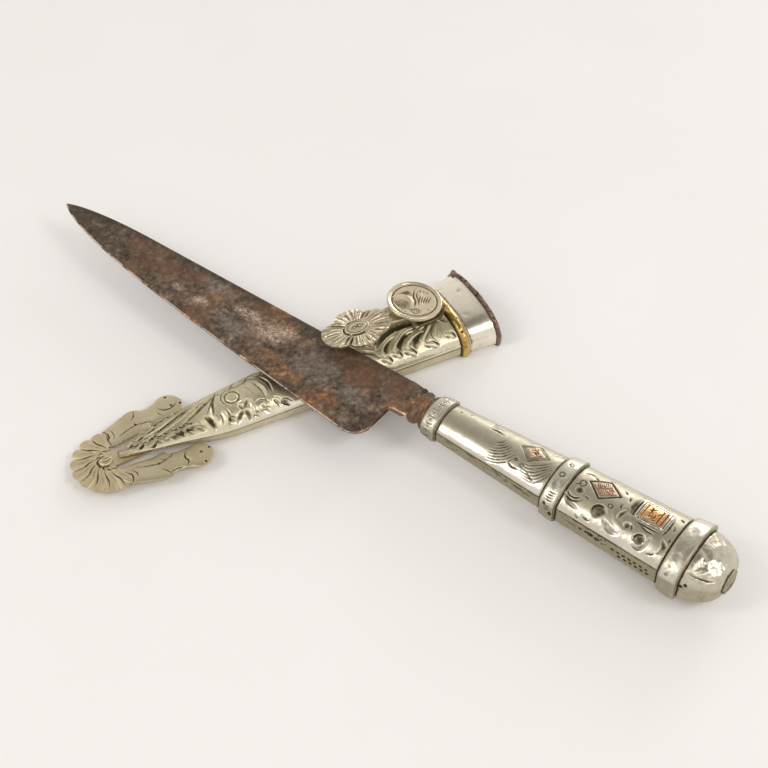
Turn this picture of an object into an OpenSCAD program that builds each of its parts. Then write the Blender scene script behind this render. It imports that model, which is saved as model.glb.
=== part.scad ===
// Gaucho knife lying across its metal sheath, the blade tucked under the sheath's belt hook.
// +X runs along the sheath from the chape to the throat, +Z is up, and z = 0 is the sheath's
// flat back. The origin lies where the knife's axis crosses the sheath's axis.
// The knife's pieces are drawn on the knife itself: x runs towards the blade's point from the
// front face of the ferrule, y towards the cutting edge, z up. on_knife() lays them in place.

/* [Blade] */
// From the ferrule to the point
blade_len = 160; // [130:1:190]
// From the ferrule to the lowest point of the heel
heel_at = 18.6; // [17:0.1:24]
// Depth of the heel below the knife's axis
heel_depth = 22.4; // [17:0.1:24]
// Radius of the rounded heel
heel_r = 6.2; // [4:0.1:7]
// Radius of the notch between the heel and the bolster
notch_r = 3; // [2:0.1:3.5]
// Height of the spine above the knife's axis
spine_rise = 7; // [6:0.1:8]
// How much the spine falls before the point curves down
spine_fall = 1.1; // [0:0.1:2]
// How far the point lies above the knife's axis
point_rise = 1.2; // [0:0.1:3]
// Thickness of the spine beside the bolster
spine_t = 3; // [2:0.1:3.6]
// Thickness of the spine near the point
point_t = 1.3; // [0.8:0.1:1.8]
// Thickness of the cutting edge
edge_t = 0.3; // [0.2:0.05:0.6]

/* [Bolster and tang] */
// Length of the filed bolster
bolster_len = 12.5; // [10:0.1:14]
// Full width of the bolster beside the ferrule
bolster_w = 13.6; // [11:0.1:14]
// Full height of the bolster beside the ferrule
bolster_h = 10; // [7:0.1:10.6]
// Number of filed rings
filed_rings = 3; // [2:1:4]
// Depth of the filing between the rings
filing = 0.4; // [0.1:0.1:0.8]
// Width of the tang
tang_w = 6.4; // [4:0.1:8]
// Thickness of the tang
tang_t = 3; // [2:0.1:3.6]
// Diameter of the tang's round end
tang_end_d = 2.8; // [2:0.1:3]

/* [Grip] */
// Height of the grip as a share of its width
grip_ratio = 0.775; // [0.7:0.005:0.9]
// Share of the height taken by the flat sides
side_flat = 0.36; // [0.1:0.02:0.5]
// Angle of the crease beside the flat sides
crease = 26; // [10:1:40]
// Thickness of the silver sheet of the sleeves
sleeve_wall = 0.7; // [0.4:0.1:1.2]
// Length of the front sleeve between the rings
front_len = 41; // [30:1:50]
// Full width of the front sleeve at the ferrule
front_w0 = 13.6; // [13:0.1:15]
// Full width of the front sleeve at the middle ring
front_w1 = 18.4; // [16:0.1:19]
// Length of the rear sleeve between the rings
rear_len = 36.9; // [28:0.1:46]
// Full width of the rear sleeve at the middle ring
rear_w0 = 19.8; // [19:0.1:21]
// Full width of the rear sleeve at the rear ring
rear_w1 = 22.8; // [21:0.1:24]
// Clearance where one piece of the knife sits in another
seat_gap = 0.1; // [0.05:0.05:0.2]

/* [Rings and pommel] */
// Length of the ferrule
ferrule_len = 5.3; // [4:0.1:7]
// Length of the middle ring
mid_len = 5.2; // [4:0.1:7]
// Length of the rear ring
end_len = 6.1; // [5:0.1:8]
// How far a ring stands above the sleeve at its front
ring_proud = 0.5; // [0.3:0.1:1]
// How much more a ring stands out at its rear
ring_flare = 0.5; // [0:0.1:1]
// How much thicker the rear ring is than the others
end_extra = 0.5; // [0:0.1:1]
// Length of the domed pommel cap behind the rear ring
cap_len = 11; // [9:0.1:14]
// How full the cap's shoulder is
cap_fullness = 1.6; // [1.4:0.1:2.2]
// Width left flat at the end of the cap, round the button
cap_end_w = 9.8; // [9.6:0.1:12]
// Diameter of the tang button
button_d = 8.4; // [7:0.1:9]
// Height of the tang button
button_h = 1.5; // [1:0.1:2]

/* [Inlays] */
// How far the inlays stand above the sleeve
inlay_proud = 0.35; // [0.2:0.05:0.6]
// How far the inlays lie from the grip's centre line, towards the spine
inlay_shift = 1.6; // [0:0.1:2.4]
// Middle of the small copper rhombus, behind the ferrule's front
small_at = 37; // [30:0.5:40]
// Side of the small copper rhombus
small_side = 3.6; // [3:0.1:5]
// Middle of the quartered rhombus, behind the ferrule's front
quarter_at = 61.8; // [58:0.1:66]
// Length of the quartered rhombus along the grip
quarter_len = 8.6; // [6:0.1:9.6]
// Width of the quartered rhombus across the grip
quarter_w = 6.2; // [4:0.1:7]
// Width of the line between its four cells
quarter_line = 0.6; // [0.3:0.1:1]
// Middle of the copper plaque, behind the ferrule's front
plaque_at = 78.6; // [75:0.1:82]
// Length of the plaque along the grip
plaque_len = 7.6; // [6:0.1:9]
// Width of the plaque across the grip
plaque_w = 6; // [5:0.1:7]
// Width of the silver frame round the plaque
bezel = 1.1; // [0.6:0.1:1.6]

/* [Sheath] */
// From the crossing to the mouth of the sheath
mouth_at = 56.6; // [52:0.1:62]
// From the crossing to the sheath's point
point_at = 73.8; // [70:0.1:80]
// From the crossing to the joint between the body and the throat band
joint_at = 45.3; // [44:0.1:48]
// Full width of the sheath at that joint
sheath_w = 29; // [27:0.1:32]
// Full width of the sheath at the crossing
cross_w = 22.3; // [20:0.1:24]
// Full height of the sheath at the joint
sheath_h = 10.9; // [10:0.1:12]
// Full height of the sheath at the crossing
cross_h = 10.3; // [9.5:0.1:11]
// Height of the sheath's point above the plate
point_h = 2.1; // [1.5:0.1:3]
// Height of the seam between back and front, as a share of the height
seam_share = 0.42; // [0.3:0.02:0.5]
// Thickness of the sheath's sheet
sheet_t = 0.8; // [0.5:0.1:1]
// Radius of the edges of the back
back_r = 2; // [1:0.1:2.4]
// How square the front's section is, where 2 is an ellipse
squareness = 2.6; // [2.4:0.1:3.2]
// Angle of the arris where the front meets the seam
arris = 14; // [2:1:18]
// Where the flat back starts to rise towards the point
rise_from = 35; // [30:0.5:38]
// Where the rising back reaches the chape plate
rise_to = 58; // [54:0.5:60]

/* [Throat] */
// How much the throat band widens to each side at the mouth
mouth_flare = 0.5; // [0.2:0.1:0.9]
// Width of the brass bead along the sheath
bead_w = 3.4; // [2.4:0.1:4]
// How far the brass bead stands out
bead_proud = 1.6; // [1:0.1:2]
// Length of the rolled lip at the mouth
lip_len = 1.8; // [1:0.1:2.4]
// How far the lip stands out
lip_proud = 1; // [0.4:0.1:1.4]

/* [Belt hook] */
// Thickness of the strap
strap_t = 1.1; // [0.8:0.1:1.4]
// Width of the strap's neck beside the rosette
neck_w = 6.6; // [5:0.1:8]
// Width of the strap under the medallion
strap_w = 9.6; // [8:0.1:11]
// Clear height between the hook's foot and the strap above it
belt_gap = 4.2; // [4:0.1:5.4]
// Length of the foot soldered to the sheath
foot_len = 8; // [6:0.1:9]
// From the crossing to the middle of the medallion
medal_at = 33.7; // [32:0.1:35]
// Diameter of the medallion
medal_d = 18.5; // [16:0.1:20]
// Thickness of the medallion
medal_t = 1.1; // [0.9:0.1:1.8]
// Height of the medallion's rim
medal_rim = 0.35; // [0.2:0.05:0.8]
// Angle at which the medallion tilts up towards the chape
medal_tilt = 5; // [0:0.5:6]
// Diameter of the post that carries the medallion on the strap
post_d = 5; // [3:0.1:7]
// From the crossing to the middle of the rosette
rosette_at = 12.1; // [11:0.1:14]
// Length of the rosette along the sheath
rosette_len = 25; // [22:0.1:26]
// Width of the rosette across the sheath
rosette_w = 16.4; // [14:0.1:18]
// Number of ribs round the rosette
rosette_ribs = 32; // [24:4:40]
// Angle at which the strap rises towards the rosette
hook_rise = 1; // [0:0.5:3]

/* [Chape] */
// Thickness of the chape plate
plate_t = 1; // [0.8:0.1:1.4]
// Height of the plate's top above the sheath's back
plate_top = 4.5; // [4:0.1:5]
// Radius of the scallop shell
shell_r = 12.4; // [12:0.1:15]
// Number of scallops
scallops = 9; // [7:1:13]
// Diameter of the raised hub of the shell
hub_d = 4.6; // [3:0.1:6]
// Height of the shell's ribs
rib_h = 0.35; // [0.1:0.05:0.6]
// How far the shell's edge curves down
shell_drop = 1.1; // [0:0.1:2]
// From the sheath's point to the shell's centre
shell_out = 3.2; // [2:0.1:4]
// From the shell's centre to the middle of an arm's shoulder
shoulder_at = 13.5; // [12:0.1:15]
// Distance of the arms' shoulders from the sheath's axis
shoulder_y = 10.8; // [10:0.1:12]
// From the shell's centre to the middle of an arm's head
head_at = 25.5; // [23:0.1:27]
// Distance of the arms' heads from the sheath's axis
head_y = 11.7; // [11:0.1:13]
// Radius of an arm's head
head_r = 4.7; // [4:0.1:5]
// Radius of the arms' necks
neck_r = 3.3; // [2.6:0.1:3.6]
// Radius of the scroll on the inner side of an arm
scroll_r = 2; // [1.4:0.1:2.2]
// Diameter of the small holes in the arms' heads
pin_d = 0.8; // [0.6:0.1:1.2]

/* [Crossing] */
// Angle from the sheath's axis to the knife's
knife_angle = 113.4; // [100:0.1:118]
// From the ferrule to where the knife crosses the sheath
cross_at = 43.2; // [39:0.1:48]
// Gap between the blade and the sheath below it
lie_gap = 0.35; // [0.3:0.05:0.6]

/* [Hidden] */
$fn = 48;
eps = 0.01;

// Places along the knife, measured back from the ferrule's front face
front_from = ferrule_len;
mid_from = front_from + front_len;
rear_from = mid_from + mid_len;
end_from = rear_from + rear_len;
cap_from = end_from + end_len;
cap_to = cap_from + cap_len;
// The sleeves run on under the rings: one butts on the other under the middle ring, and the
// rear one meets the cap under the rear ring
front_under = ferrule_len / 4;
mid_joint = mid_from + mid_len / 2;
end_joint = end_from + end_len / 2;

function mix(a, b, t) = a + (b - a) * t;
function clamp01(t) = min(1, max(0, t));
function smooth(t) = let (c = clamp01(t)) c * c * (3 - 2 * c);
function reversed(list) = [for (i = [len(list) - 1:-1:0]) list[i]];
function arc(centre, r, from, to, n) =
    [for (i = [0:n]) let (a = mix(from, to, i / n)) centre + r * [cos(a), sin(a)]];
function bezier(p, n) =
    [for (i = [1:n]) let (t = i / n, s = 1 - t)
        s * s * s * p[0] + 3 * s * s * t * p[1] + 3 * s * t * t * p[2] + t * t * t * p[3]];

// A skin over sections of equal point counts. The sections follow each other along +X and turn
// counter-clockwise when seen from +X. A closed skin joins the last section to the first. A
// sheet's section runs out along one side and back along the other, so its ends are strips.
module skin(sections, closed = false, sheet = false) {
    n = len(sections[0]);
    m = len(sections);
    last = closed ? m - 1 : m - 2;
    sides = [for (i = [0:last], j = [0:n - 1])
        let (a = i * n + j, b = i * n + (j + 1) % n, k = ((i + 1) % m) * n,
             c = k + (j + 1) % n, d = k + j)
        each [[a, c, b], [a, d, c]]];
    z = (m - 1) * n;
    strips = [for (j = [0:n / 2 - 2])
        let (a = j, b = j + 1, c = n - 2 - j, d = n - 1 - j)
        each [[a, b, c], [a, c, d], [z + a, z + c, z + b], [z + a, z + d, z + c]]];
    caps = [[for (j = [0:n - 1]) j], [for (j = [n - 1:-1:0]) z + j]];
    ends = closed ? [] : sheet ? strips : caps;
    polyhedron(points = [for (s = sections) each s], faces = concat(sides, ends), convexity = 8);
}

// The grip's section: an arched top, flat sides and the same arch below
arch_steps = 13;
function arch(w, h, flat, bend) =
    [for (i = [0:arch_steps])
        let (a = mix(bend, 180 - bend, i / arch_steps))
        [w / 2 * cos(a) / cos(bend),
         h / 2 * mix(flat, 1, (sin(a) - sin(bend)) / (1 - sin(bend)))]];
function oval(x, w, h, flat = side_flat, bend = crease) =
    let (top = arch(w, h, flat, bend))
    [for (p = concat(top, -top)) [x, p[0], p[1]]];
function grip_oval(x, w) = oval(x, w, w * grip_ratio);

// Outer widths of the sleeves at a distance behind the ferrule's front face
function front_w(back) = mix(front_w0, front_w1, (back - front_from) / front_len);
function rear_w(back) = mix(rear_w0, rear_w1, (back - rear_from) / rear_len);
function core_w(back) =
    (back < mid_joint ? front_w(back) : rear_w(back)) - 2 * sleeve_wall - 2 * seat_gap;

// Half width, top, bottom and seam heights of the sheath at x along its axis
function narrowing(x) = pow(clamp01((-x - rise_from) / (point_at - rise_from)), 2.6);
function sheath_half(x) =
    mix(cross_w, sheath_w, x / joint_at) / 2 * (1 - 0.8 * narrowing(x));
function sheath_bottom(x) = (plate_top + seat_gap) * smooth((-x - rise_from) / (rise_to - rise_from));
function sheath_top(x) =
    let (line = mix(cross_h, sheath_h, x / joint_at))
    mix(line, plate_top + point_h, pow(clamp01(-x / point_at), 2));
function sheath_seam(x) = mix(sheath_bottom(x), sheath_top(x), seam_share);
function flare(x) = mouth_flare * smooth((x - joint_at) / (mouth_at - joint_at));

// Paths over the sheath's front and round its back, offset outwards by d
front_steps = 20;
function front_path(x, d = 0) =
    let (w = sheath_half(x) + flare(x) + d, low = sheath_seam(x),
         high = sheath_top(x) + flare(x) + d - low, p = 2 / squareness,
         side = pow(cos(arris), p), foot = pow(sin(arris), p))
    [for (i = [0:front_steps])
        let (a = mix(arris, 180 - arris, i / front_steps))
        [x, sign(cos(a)) * w * pow(abs(cos(a)), p) / side,
         low + high * (pow(sin(a), p) - foot) / (1 - foot)]];
back_steps = 3;
function back_path(x, d = 0) =
    let (w = sheath_half(x) + flare(x) + d, low = sheath_bottom(x) - d, high = sheath_seam(x),
         r = min(back_r + d, w * 0.6, (high - low) * 0.6))
    [for (p = concat([[-w, high]], arc([-w + r, low + r], r, 180, 270, back_steps),
                     arc([w - r, low + r], r, 270, 360, back_steps), [[w, high]]))
        [x, p[0], p[1]]];
function sheath_loop(x, d) =
    let (top = front_path(x, d), low = back_path(x, d))
    concat(top, [for (i = [1:len(low) - 2]) low[i]]);

// The wall closes up to an all but solid point over the last stretch
function hollow(x) = smooth((x + point_at - 4) / 8);
function wall_at(x) =
    let (most = 0.7 * min(sheath_half(x), sheath_seam(x) - sheath_bottom(x)))
    mix(most, min(sheet_t, most), hollow(x));
sheath_steps = 26;
function station(i) = let (t = i / sheath_steps) mix(-point_at, joint_at, t * mix(0.55, 1, t));

// The knife lies on the sheath's front and on its own rear ring
ring_w_end = rear_w(cap_from) + 2 * (ring_proud + end_extra + ring_flare + seat_gap);
lie_z = sheath_top(spine_rise + 3) + lie_gap + spine_t / 2;
lie_slope = asin((lie_z - ring_w_end * grip_ratio / 2) / (cross_at + cap_from));
module on_knife() {
    translate([0, 0, lie_z]) rotate([0, 0, knife_angle]) rotate([0, -lie_slope, 0])
        translate([-cross_at, 0, 0]) children();
}

// Blade
// The straight spine bends to the point over the last quarter, and the belly runs in one curve
// from the point back to the heel
ricasso_y = bolster_w / 2 - filing - 0.2;
notch_x = heel_at - heel_r - notch_r / 2;
spine_turn = blade_len * 0.75;
tip = [blade_len, -point_rise];
spine_curve = [[spine_turn, spine_fall - spine_rise], [blade_len * 0.87, spine_fall - spine_rise],
               [blade_len * 0.96, -point_rise - 3], tip];
belly_curve = [tip, [blade_len * 0.902, heel_depth * 0.49],
               [mix(heel_at, blade_len, 0.34), heel_depth * 0.775], [heel_at, heel_depth]];
function blade_outline() = concat(
    [[bolster_len / 2, -ricasso_y], [bolster_len, -spine_rise], [spine_turn, spine_fall - spine_rise]],
    bezier(spine_curve, 8), bezier(belly_curve, 22),
    arc([heel_at, heel_depth - heel_r], heel_r, 90, 188, 8),
    arc([notch_x, ricasso_y + notch_r], notch_r, 12, -90, 8), [[bolster_len / 2, ricasso_y]]);
// The grind falls from the spine to the thin edge, and the whole blade thins towards the point
function belly_y(x) =
    let (t = clamp01((x - heel_at) / (blade_len - heel_at)), s = 1 - t)
    heel_depth * (s * s * s + 3 * s * s * t * 0.86 + 3 * s * t * t * 0.62) + t * t * t * tip[1];
module grind() {
    over = 1;
    steps = 14;
    skin([for (i = [0:steps])
        let (t = i / steps, x = mix(bolster_len / 2, blade_len + over, t),
             high = -spine_rise - over, low = belly_y(x) + over,
             back = mix(spine_t, point_t, t) / 2, front = edge_t / 2)
        [[x, low, -front], [x, low, front], [x, high, back], [x, high, -back]]]);
}
// The bolster swells from the flat ricasso to an oval collar, with filed rings round it
module bolster() {
    steps = 6 * filed_rings + 2;
    skin([for (i = [0:steps])
        let (t = i / steps, ring = filing * (cos(360 * filed_rings * t) - 1) * (1 - smooth(2 * t - 1)),
             w = mix(bolster_w, 2 * ricasso_y, t) + ring,
             h = mix(bolster_h, spine_t * 0.9, smooth(t * 0.9 + 0.05)) + ring)
        oval(mix(seat_gap, bolster_len + 1, t), w, h, 0.1, 8)]);
}
module tang() {
    end_w = tang_end_d + 0.8;
    rotate([0, 180, 0]) {
        linear_extrude(tang_t, center = true)
            polygon([[-1, -tang_w / 2], [cap_from, -end_w / 2], [cap_from, end_w / 2], [-1, tang_w / 2]]);
        translate([cap_from - 1, 0, 0]) rotate([0, 90, 0]) cylinder(d = tang_end_d, h = cap_len + 2);
    }
}
module blade() {
    color("#5b4a40") on_knife() {
        intersection() {
            grind();
            linear_extrude(4 * spine_t, center = true) polygon(blade_outline());
        }
        bolster();
        tang();
    }
}

// Grip core, bored for the tang
module grip_core() {
    from = front_under + 0.4;
    nose = cap_from + cap_len * 0.5;
    color("#6b4a2c") on_knife() difference() {
        skin([grip_oval(-nose, cap_w(nose) - 2 * sleeve_wall - 2 * seat_gap),
              grip_oval(-cap_from, cap_w(cap_from) - 2 * sleeve_wall - 2 * seat_gap),
              grip_oval(-end_joint, core_w(end_joint)),
              grip_oval(-mid_joint - eps, core_w(mid_joint + eps)),
              grip_oval(-mid_joint + eps, core_w(mid_joint - eps)),
              grip_oval(-from, core_w(from))]);
        translate([-nose - 1, -tang_w / 2 - seat_gap, -tang_t / 2 - seat_gap])
            cube([nose + 1, tang_w + 2 * seat_gap, tang_t + 2 * seat_gap]);
    }
}

// Sleeves of silver sheet
module front_sleeve() {
    inner = 2 * sleeve_wall;
    color("#c9c4b6") on_knife() skin([
        grip_oval(-mid_joint + seat_gap, front_w(mid_joint)),
        grip_oval(-front_under, front_w(front_under)),
        grip_oval(-front_under, front_w(front_under) - inner),
        grip_oval(-mid_joint + seat_gap, front_w(mid_joint) - inner)], closed = true);
}
module rear_sleeve() {
    inner = 2 * sleeve_wall;
    color("#c9c4b6") on_knife() skin([
        grip_oval(-end_joint, rear_w(end_joint)),
        grip_oval(-mid_joint, rear_w(mid_joint)),
        grip_oval(-mid_joint, rear_w(mid_joint) - inner),
        grip_oval(-end_joint, rear_w(end_joint) - inner)], closed = true);
}

// A ring round the grip: a flat band with rounded edges that flares towards the pommel
module grip_ring(from, length, inner_front, inner_rear, proud) {
    edge = 0.35;
    lift = 2 * seat_gap;
    w0 = inner_front + lift + 2 * proud;
    w1 = inner_rear + lift + 2 * (proud + ring_flare);
    back = from + length;
    color("#b9b4a4") on_knife() skin([
        grip_oval(-back, w1 - 2 * edge), grip_oval(-back + edge, w1),
        grip_oval(-from - edge, w0), grip_oval(-from, w0 - 2 * edge),
        grip_oval(-from, inner_front + lift), grip_oval(-back, inner_rear + lift)], closed = true);
}
module front_ferrule() {
    grip_ring(0, ferrule_len, front_w(0), front_w(ferrule_len), ring_proud);
}
module mid_ring() {
    grip_ring(mid_from, mid_len, rear_w(mid_from), rear_w(rear_from), ring_proud);
}
module rear_ring() {
    grip_ring(end_from, end_len, rear_w(end_from), rear_w(cap_from), ring_proud + end_extra);
}

// Pommel cap: a dome that goes on from the rear sleeve and ends flat round the button
function cap_w(back) =
    let (t = clamp01((back - cap_from) / cap_len))
    back < cap_from ? rear_w(back) : mix(rear_w(cap_from), cap_end_w, 1 - sqrt(1 - pow(t, cap_fullness)));
module pommel_cap() {
    steps = 9;
    hole = tang_end_d + 2 * seat_gap;
    color("#bdb8a6") on_knife() difference() {
        skin(concat(
            [for (i = [steps:-1:0])
                let (b = mix(cap_from, cap_to, sin(90 * i / steps))) grip_oval(-b, cap_w(b))],
            [grip_oval(-end_joint - seat_gap, rear_w(end_joint)),
             grip_oval(-end_joint - seat_gap, rear_w(end_joint) - 2 * sleeve_wall)],
            [for (i = [0:3])
                let (b = mix(cap_from, cap_to - sleeve_wall, i / 4))
                grip_oval(-b, cap_w(b) - 2 * sleeve_wall)],
            [grip_oval(-cap_to + sleeve_wall, cap_end_w - 2 * sleeve_wall),
             grip_oval(-cap_to + sleeve_wall, hole + 1), grip_oval(-cap_to, hole + 1)]),
            closed = true);
    }
    color("#bdb8a6") on_knife() translate([-cap_to, 0, 0]) rotate([0, 90, 0]) difference() {
        cylinder(d = hole + 2, h = sleeve_wall);
        translate([0, 0, -1]) cylinder(d = hole, h = sleeve_wall + 2);
    }
}
module tang_button() {
    rim = button_h * 0.5;
    color("#aaa592") on_knife() translate([-cap_to - seat_gap, 0, 0]) rotate([0, -90, 0])
        rotate_extrude() difference() {
            union() {
                square([button_d / 2, rim]);
                intersection() {
                    square([button_d / 2, button_h]);
                    translate([0, button_h - button_d]) circle(r = button_d, $fn = 96);
                }
            }
            translate([-1, -1]) square([tang_end_d / 2 + seat_gap + 1, 2 + seat_gap]);
        }
}

// Inlays on top of the grip: thin sheets that follow the sleeve's arch, cut to their outlines
module on_sleeve(back, from, to, w0, w1) {
    low = 2 * seat_gap;
    high = low + 2 * inlay_proud;
    on_knife() intersection() {
        skin([grip_oval(-to, w1 + high), grip_oval(-from, w0 + high),
              grip_oval(-from, w0 + low), grip_oval(-to, w1 + low)], closed = true);
        translate([-back, -inlay_shift, 0]) linear_extrude(w1) children();
    }
}
module on_front(back) {
    on_sleeve(back, front_from, mid_from, front_w0, front_w1) children();
}
module on_rear(back) {
    on_sleeve(back, rear_from, end_from, rear_w0, rear_w1) children();
}
module small_rhombus() {
    color("#b8754a") on_front(small_at) rotate(45) square(small_side, center = true);
}
module quartered_rhombus() {
    half = [quarter_len / 2, quarter_w / 2];
    lean = atan2(half[1], half[0]);
    color("#c08a50") on_rear(quarter_at) difference() {
        polygon([[half[0], 0], [0, half[1]], [-half[0], 0], [0, -half[1]]]);
        for (a = [lean, -lean]) rotate(a) square([2 * quarter_len, quarter_line], center = true);
    }
}
module copper_plaque() {
    color("#b5652f") on_rear(plaque_at) square([plaque_len, plaque_w], center = true);
}
module plaque_frame() {
    inner = [plaque_len + 2 * seat_gap, plaque_w + 2 * seat_gap];
    color("#c2bcab") on_rear(plaque_at) difference() {
        square(inner + [2 * bezel, 2 * bezel], center = true);
        square(inner, center = true);
    }
}

// Sheath body: a plain back tray and a raised front, soldered along the seam
module sheath_front() {
    color("#cfc8a8") skin([for (i = [0:sheath_steps])
        let (x = station(i), d = -wall_at(x), lift = seat_gap / 2)
        [for (p = concat(front_path(x), reversed(front_path(x, d)))) p + [0, 0, lift]]],
        sheet = true);
}
module sheath_back() {
    color("#c4bd9f") skin([for (i = [0:sheath_steps])
        let (x = station(i), d = -wall_at(x))
        concat(back_path(x), reversed(back_path(x, d)))], sheet = true);
}

// Throat: the plain band, its rolled lip and the brass bead over its joint with the body
module throat_band() {
    steps = 4;
    from = joint_at + seat_gap;
    xs = [for (i = [0:steps]) mix(from, mouth_at, i / steps)];
    color("#d8d2b8") skin(concat([for (x = xs) sheath_loop(x, 0)],
        [for (x = reversed(xs)) sheath_loop(x, -sheet_t)]), closed = true);
}
module throat_lip() {
    from = mouth_at + seat_gap;
    // [share of the length, share of the stand-out] round the rolled edge
    profile = [[0, 0], [0.4, 0.8], [0.8, 1], [1, 0.6]];
    function lip(x, d) = [for (p = sheath_loop(mouth_at, d)) [x, p[1], max(0, p[2])]];
    color("#8a6a4a") skin(concat(
        [for (p = profile) lip(from + p[0] * lip_len, p[1] * lip_proud)],
        [lip(from + lip_len, -sheet_t * 0.5), lip(from, -sheet_t)]), closed = true);
}
module brass_bead() {
    // The bead runs up one side from the edge of the back, over the front and down the other,
    // with each edge on the sheath's own surface there
    function route(x) = let (low = back_path(x, seat_gap), n = len(low))
        concat([low[n - 3], low[n - 2]], front_path(x, seat_gap), [low[1], low[2]]);
    body_side = route(joint_at - bead_w / 2);
    band_side = route(joint_at + bead_w / 2);
    n = len(body_side) - 1;
    round_steps = 6;
    sections = [for (j = [0:n])
        let (t = body_side[min(n, j + 1)] - body_side[max(0, j - 1)],
             out = [0, t[2], -t[1]] / norm(t), ends = min(1, 0.35 + min(j, n - j) / 3))
        [for (i = [0:round_steps])
            let (a = 180 * i / round_steps)
            mix(body_side[j], band_side[j], (1 + cos(a)) / 2)
                + out * bead_proud * ends * sin(a)]];
    color("#c9962e") skin(sections);
}

// Belt hook: a springy strip bent back over itself, its foot soldered to the sheath's front and
// its free end spread into a four-lobed ribbed rosette
foot_z = sheath_top(medal_at + foot_len) + 2 * seat_gap;
bend_r = (belt_gap + 2 * strap_t) / 2;
bend_at = joint_at - bead_w / 2 - bend_r - 0.6;
module on_strap() {
    translate([bend_at, 0, foot_z + bend_r]) rotate([0, hook_rise, 0])
        translate([0, 0, bend_r]) children();
}
module strap_profile() {
    difference() {
        circle(r = bend_r);
        circle(r = bend_r - strap_t);
        translate([-2 * bend_r, -bend_r - 1]) square([2 * bend_r, 2 * bend_r + 2]);
    }
    translate([-foot_len, -bend_r]) square([foot_len + eps, strap_t]);
    rotate(-hook_rise) translate([rosette_at - bend_at, bend_r - strap_t])
        square([bend_at - rosette_at + eps, strap_t]);
}
module strap_plan() {
    neck_x = rosette_at + rosette_len / 2 - 2;
    polygon([[rosette_at, -neck_w / 2], [neck_x, -neck_w / 2], [medal_at, -strap_w / 2],
             [joint_at, -strap_w / 2], [joint_at, strap_w / 2], [medal_at, strap_w / 2],
             [neck_x, neck_w / 2], [rosette_at, neck_w / 2]]);
}
function rosette_r(a) =
    let (c = abs(cos(a)), s = abs(sin(a)), lobe = pow(abs(cos(2 * a)), 1.4))
    norm([rosette_len / 2 * c, rosette_w / 2 * s]) * mix(0.8, 1, lobe);
module rosette() {
    per_rib = 3;
    n = rosette_ribs * per_rib;
    // [share of the radius, height above the strap's top] of the rings from the oval outwards
    rings = [[0.16, 0.5], [0.34, 0.6], [0.42, 0.2], [0.75, 0.35], [1, 0]];
    function ring(share, z, rib) = [for (j = [0:n - 1])
        let (a = 360 * j / n, r = rosette_r(a) * share)
        [r * cos(a), r * sin(a), z + rib * (j % per_rib == 0 ? -0.5 : 0.5)]];
    translate([rosette_at - bend_at, 0, 0]) rotate([0, -90, 0]) skin([
        for (s = concat([[0.16, -strap_t, 0], [1, -strap_t, 0]],
                        [for (i = [4:-1:0]) [rings[i][0], rings[i][1], i < 2 ? 0 : 0.3]]))
            [for (p = ring(s[0], s[1], s[2])) [p[2], p[1], -p[0]]]]);
}
module belt_hook() {
    color("#bfb48e") {
        intersection() {
            translate([bend_at, 0, foot_z + bend_r]) rotate([90, 0, 0])
                linear_extrude(2 * strap_w, center = true) strap_profile();
            linear_extrude(4 * sheath_h) strap_plan();
        }
        on_strap() rosette();
    }
}
// The medallion tilts up towards the chape about its throat side, where it all but touches the
// strap, and a post below its middle fills the wedge between them
medal_lift = medal_d / 2 * sin(medal_tilt) + seat_gap;
module on_medal() {
    on_strap() translate([medal_at - bend_at, 0, medal_lift])
        rotate([0, medal_tilt, 0]) children();
}
module medallion() {
    rim_w = 1;
    color("#c2b894") on_medal() {
        cylinder(d = medal_d, h = medal_t);
        difference() {
            cylinder(d = medal_d, h = medal_t + medal_rim);
            translate([0, 0, -1]) cylinder(d = medal_d - 2 * rim_w, h = medal_t + medal_rim + 2);
        }
    }
}
module medal_post() {
    color("#a89f80") difference() {
        on_strap() translate([medal_at - bend_at, 0, seat_gap])
            cylinder(d = post_d, h = 2 * medal_lift);
        on_medal() translate([-medal_d, -medal_d, -seat_gap])
            cube([2 * medal_d, 2 * medal_d, 2 * medal_d]);
    }
}

// Chape plate: a ribbed scallop shell at the point, with an arm on each side that ends in a
// rounded head. The sheath's point lies on its tongue.
shell_x = -point_at - shell_out;
module shell_fan() {
    per = 6;
    sweep = 112;
    n = scallops * per;
    function edge(j) = abs(sin(180 * j / per));
    function rim(share, z, rib) = concat(
        [for (j = [0:n])
            let (a = mix(180 - sweep, 180 + sweep, j / n),
                 r = share * shell_r * mix(1, mix(0.93, 1, edge(j)), share))
            [z + rib * share * (edge(j) - 0.6) - shell_drop * pow(share, 3),
             r * sin(a), -r * cos(a)]]);
    // The raised hub in the middle of the fan
    translate([shell_x - 1.2, 0, plate_top - plate_t])
        cylinder(d = hub_d, h = plate_t + rib_h + 0.2);
    translate([shell_x, 0, plate_top]) rotate([0, -90, 0]) skin([
        for (s = [[0.15, -plate_t], [0.6, -plate_t], [1, -plate_t], [1, 0], [0.8, 0], [0.55, 0],
                  [0.3, 0], [0.15, 0]])
            rim(s[0], s[1], rib_h)]);
}
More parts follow.
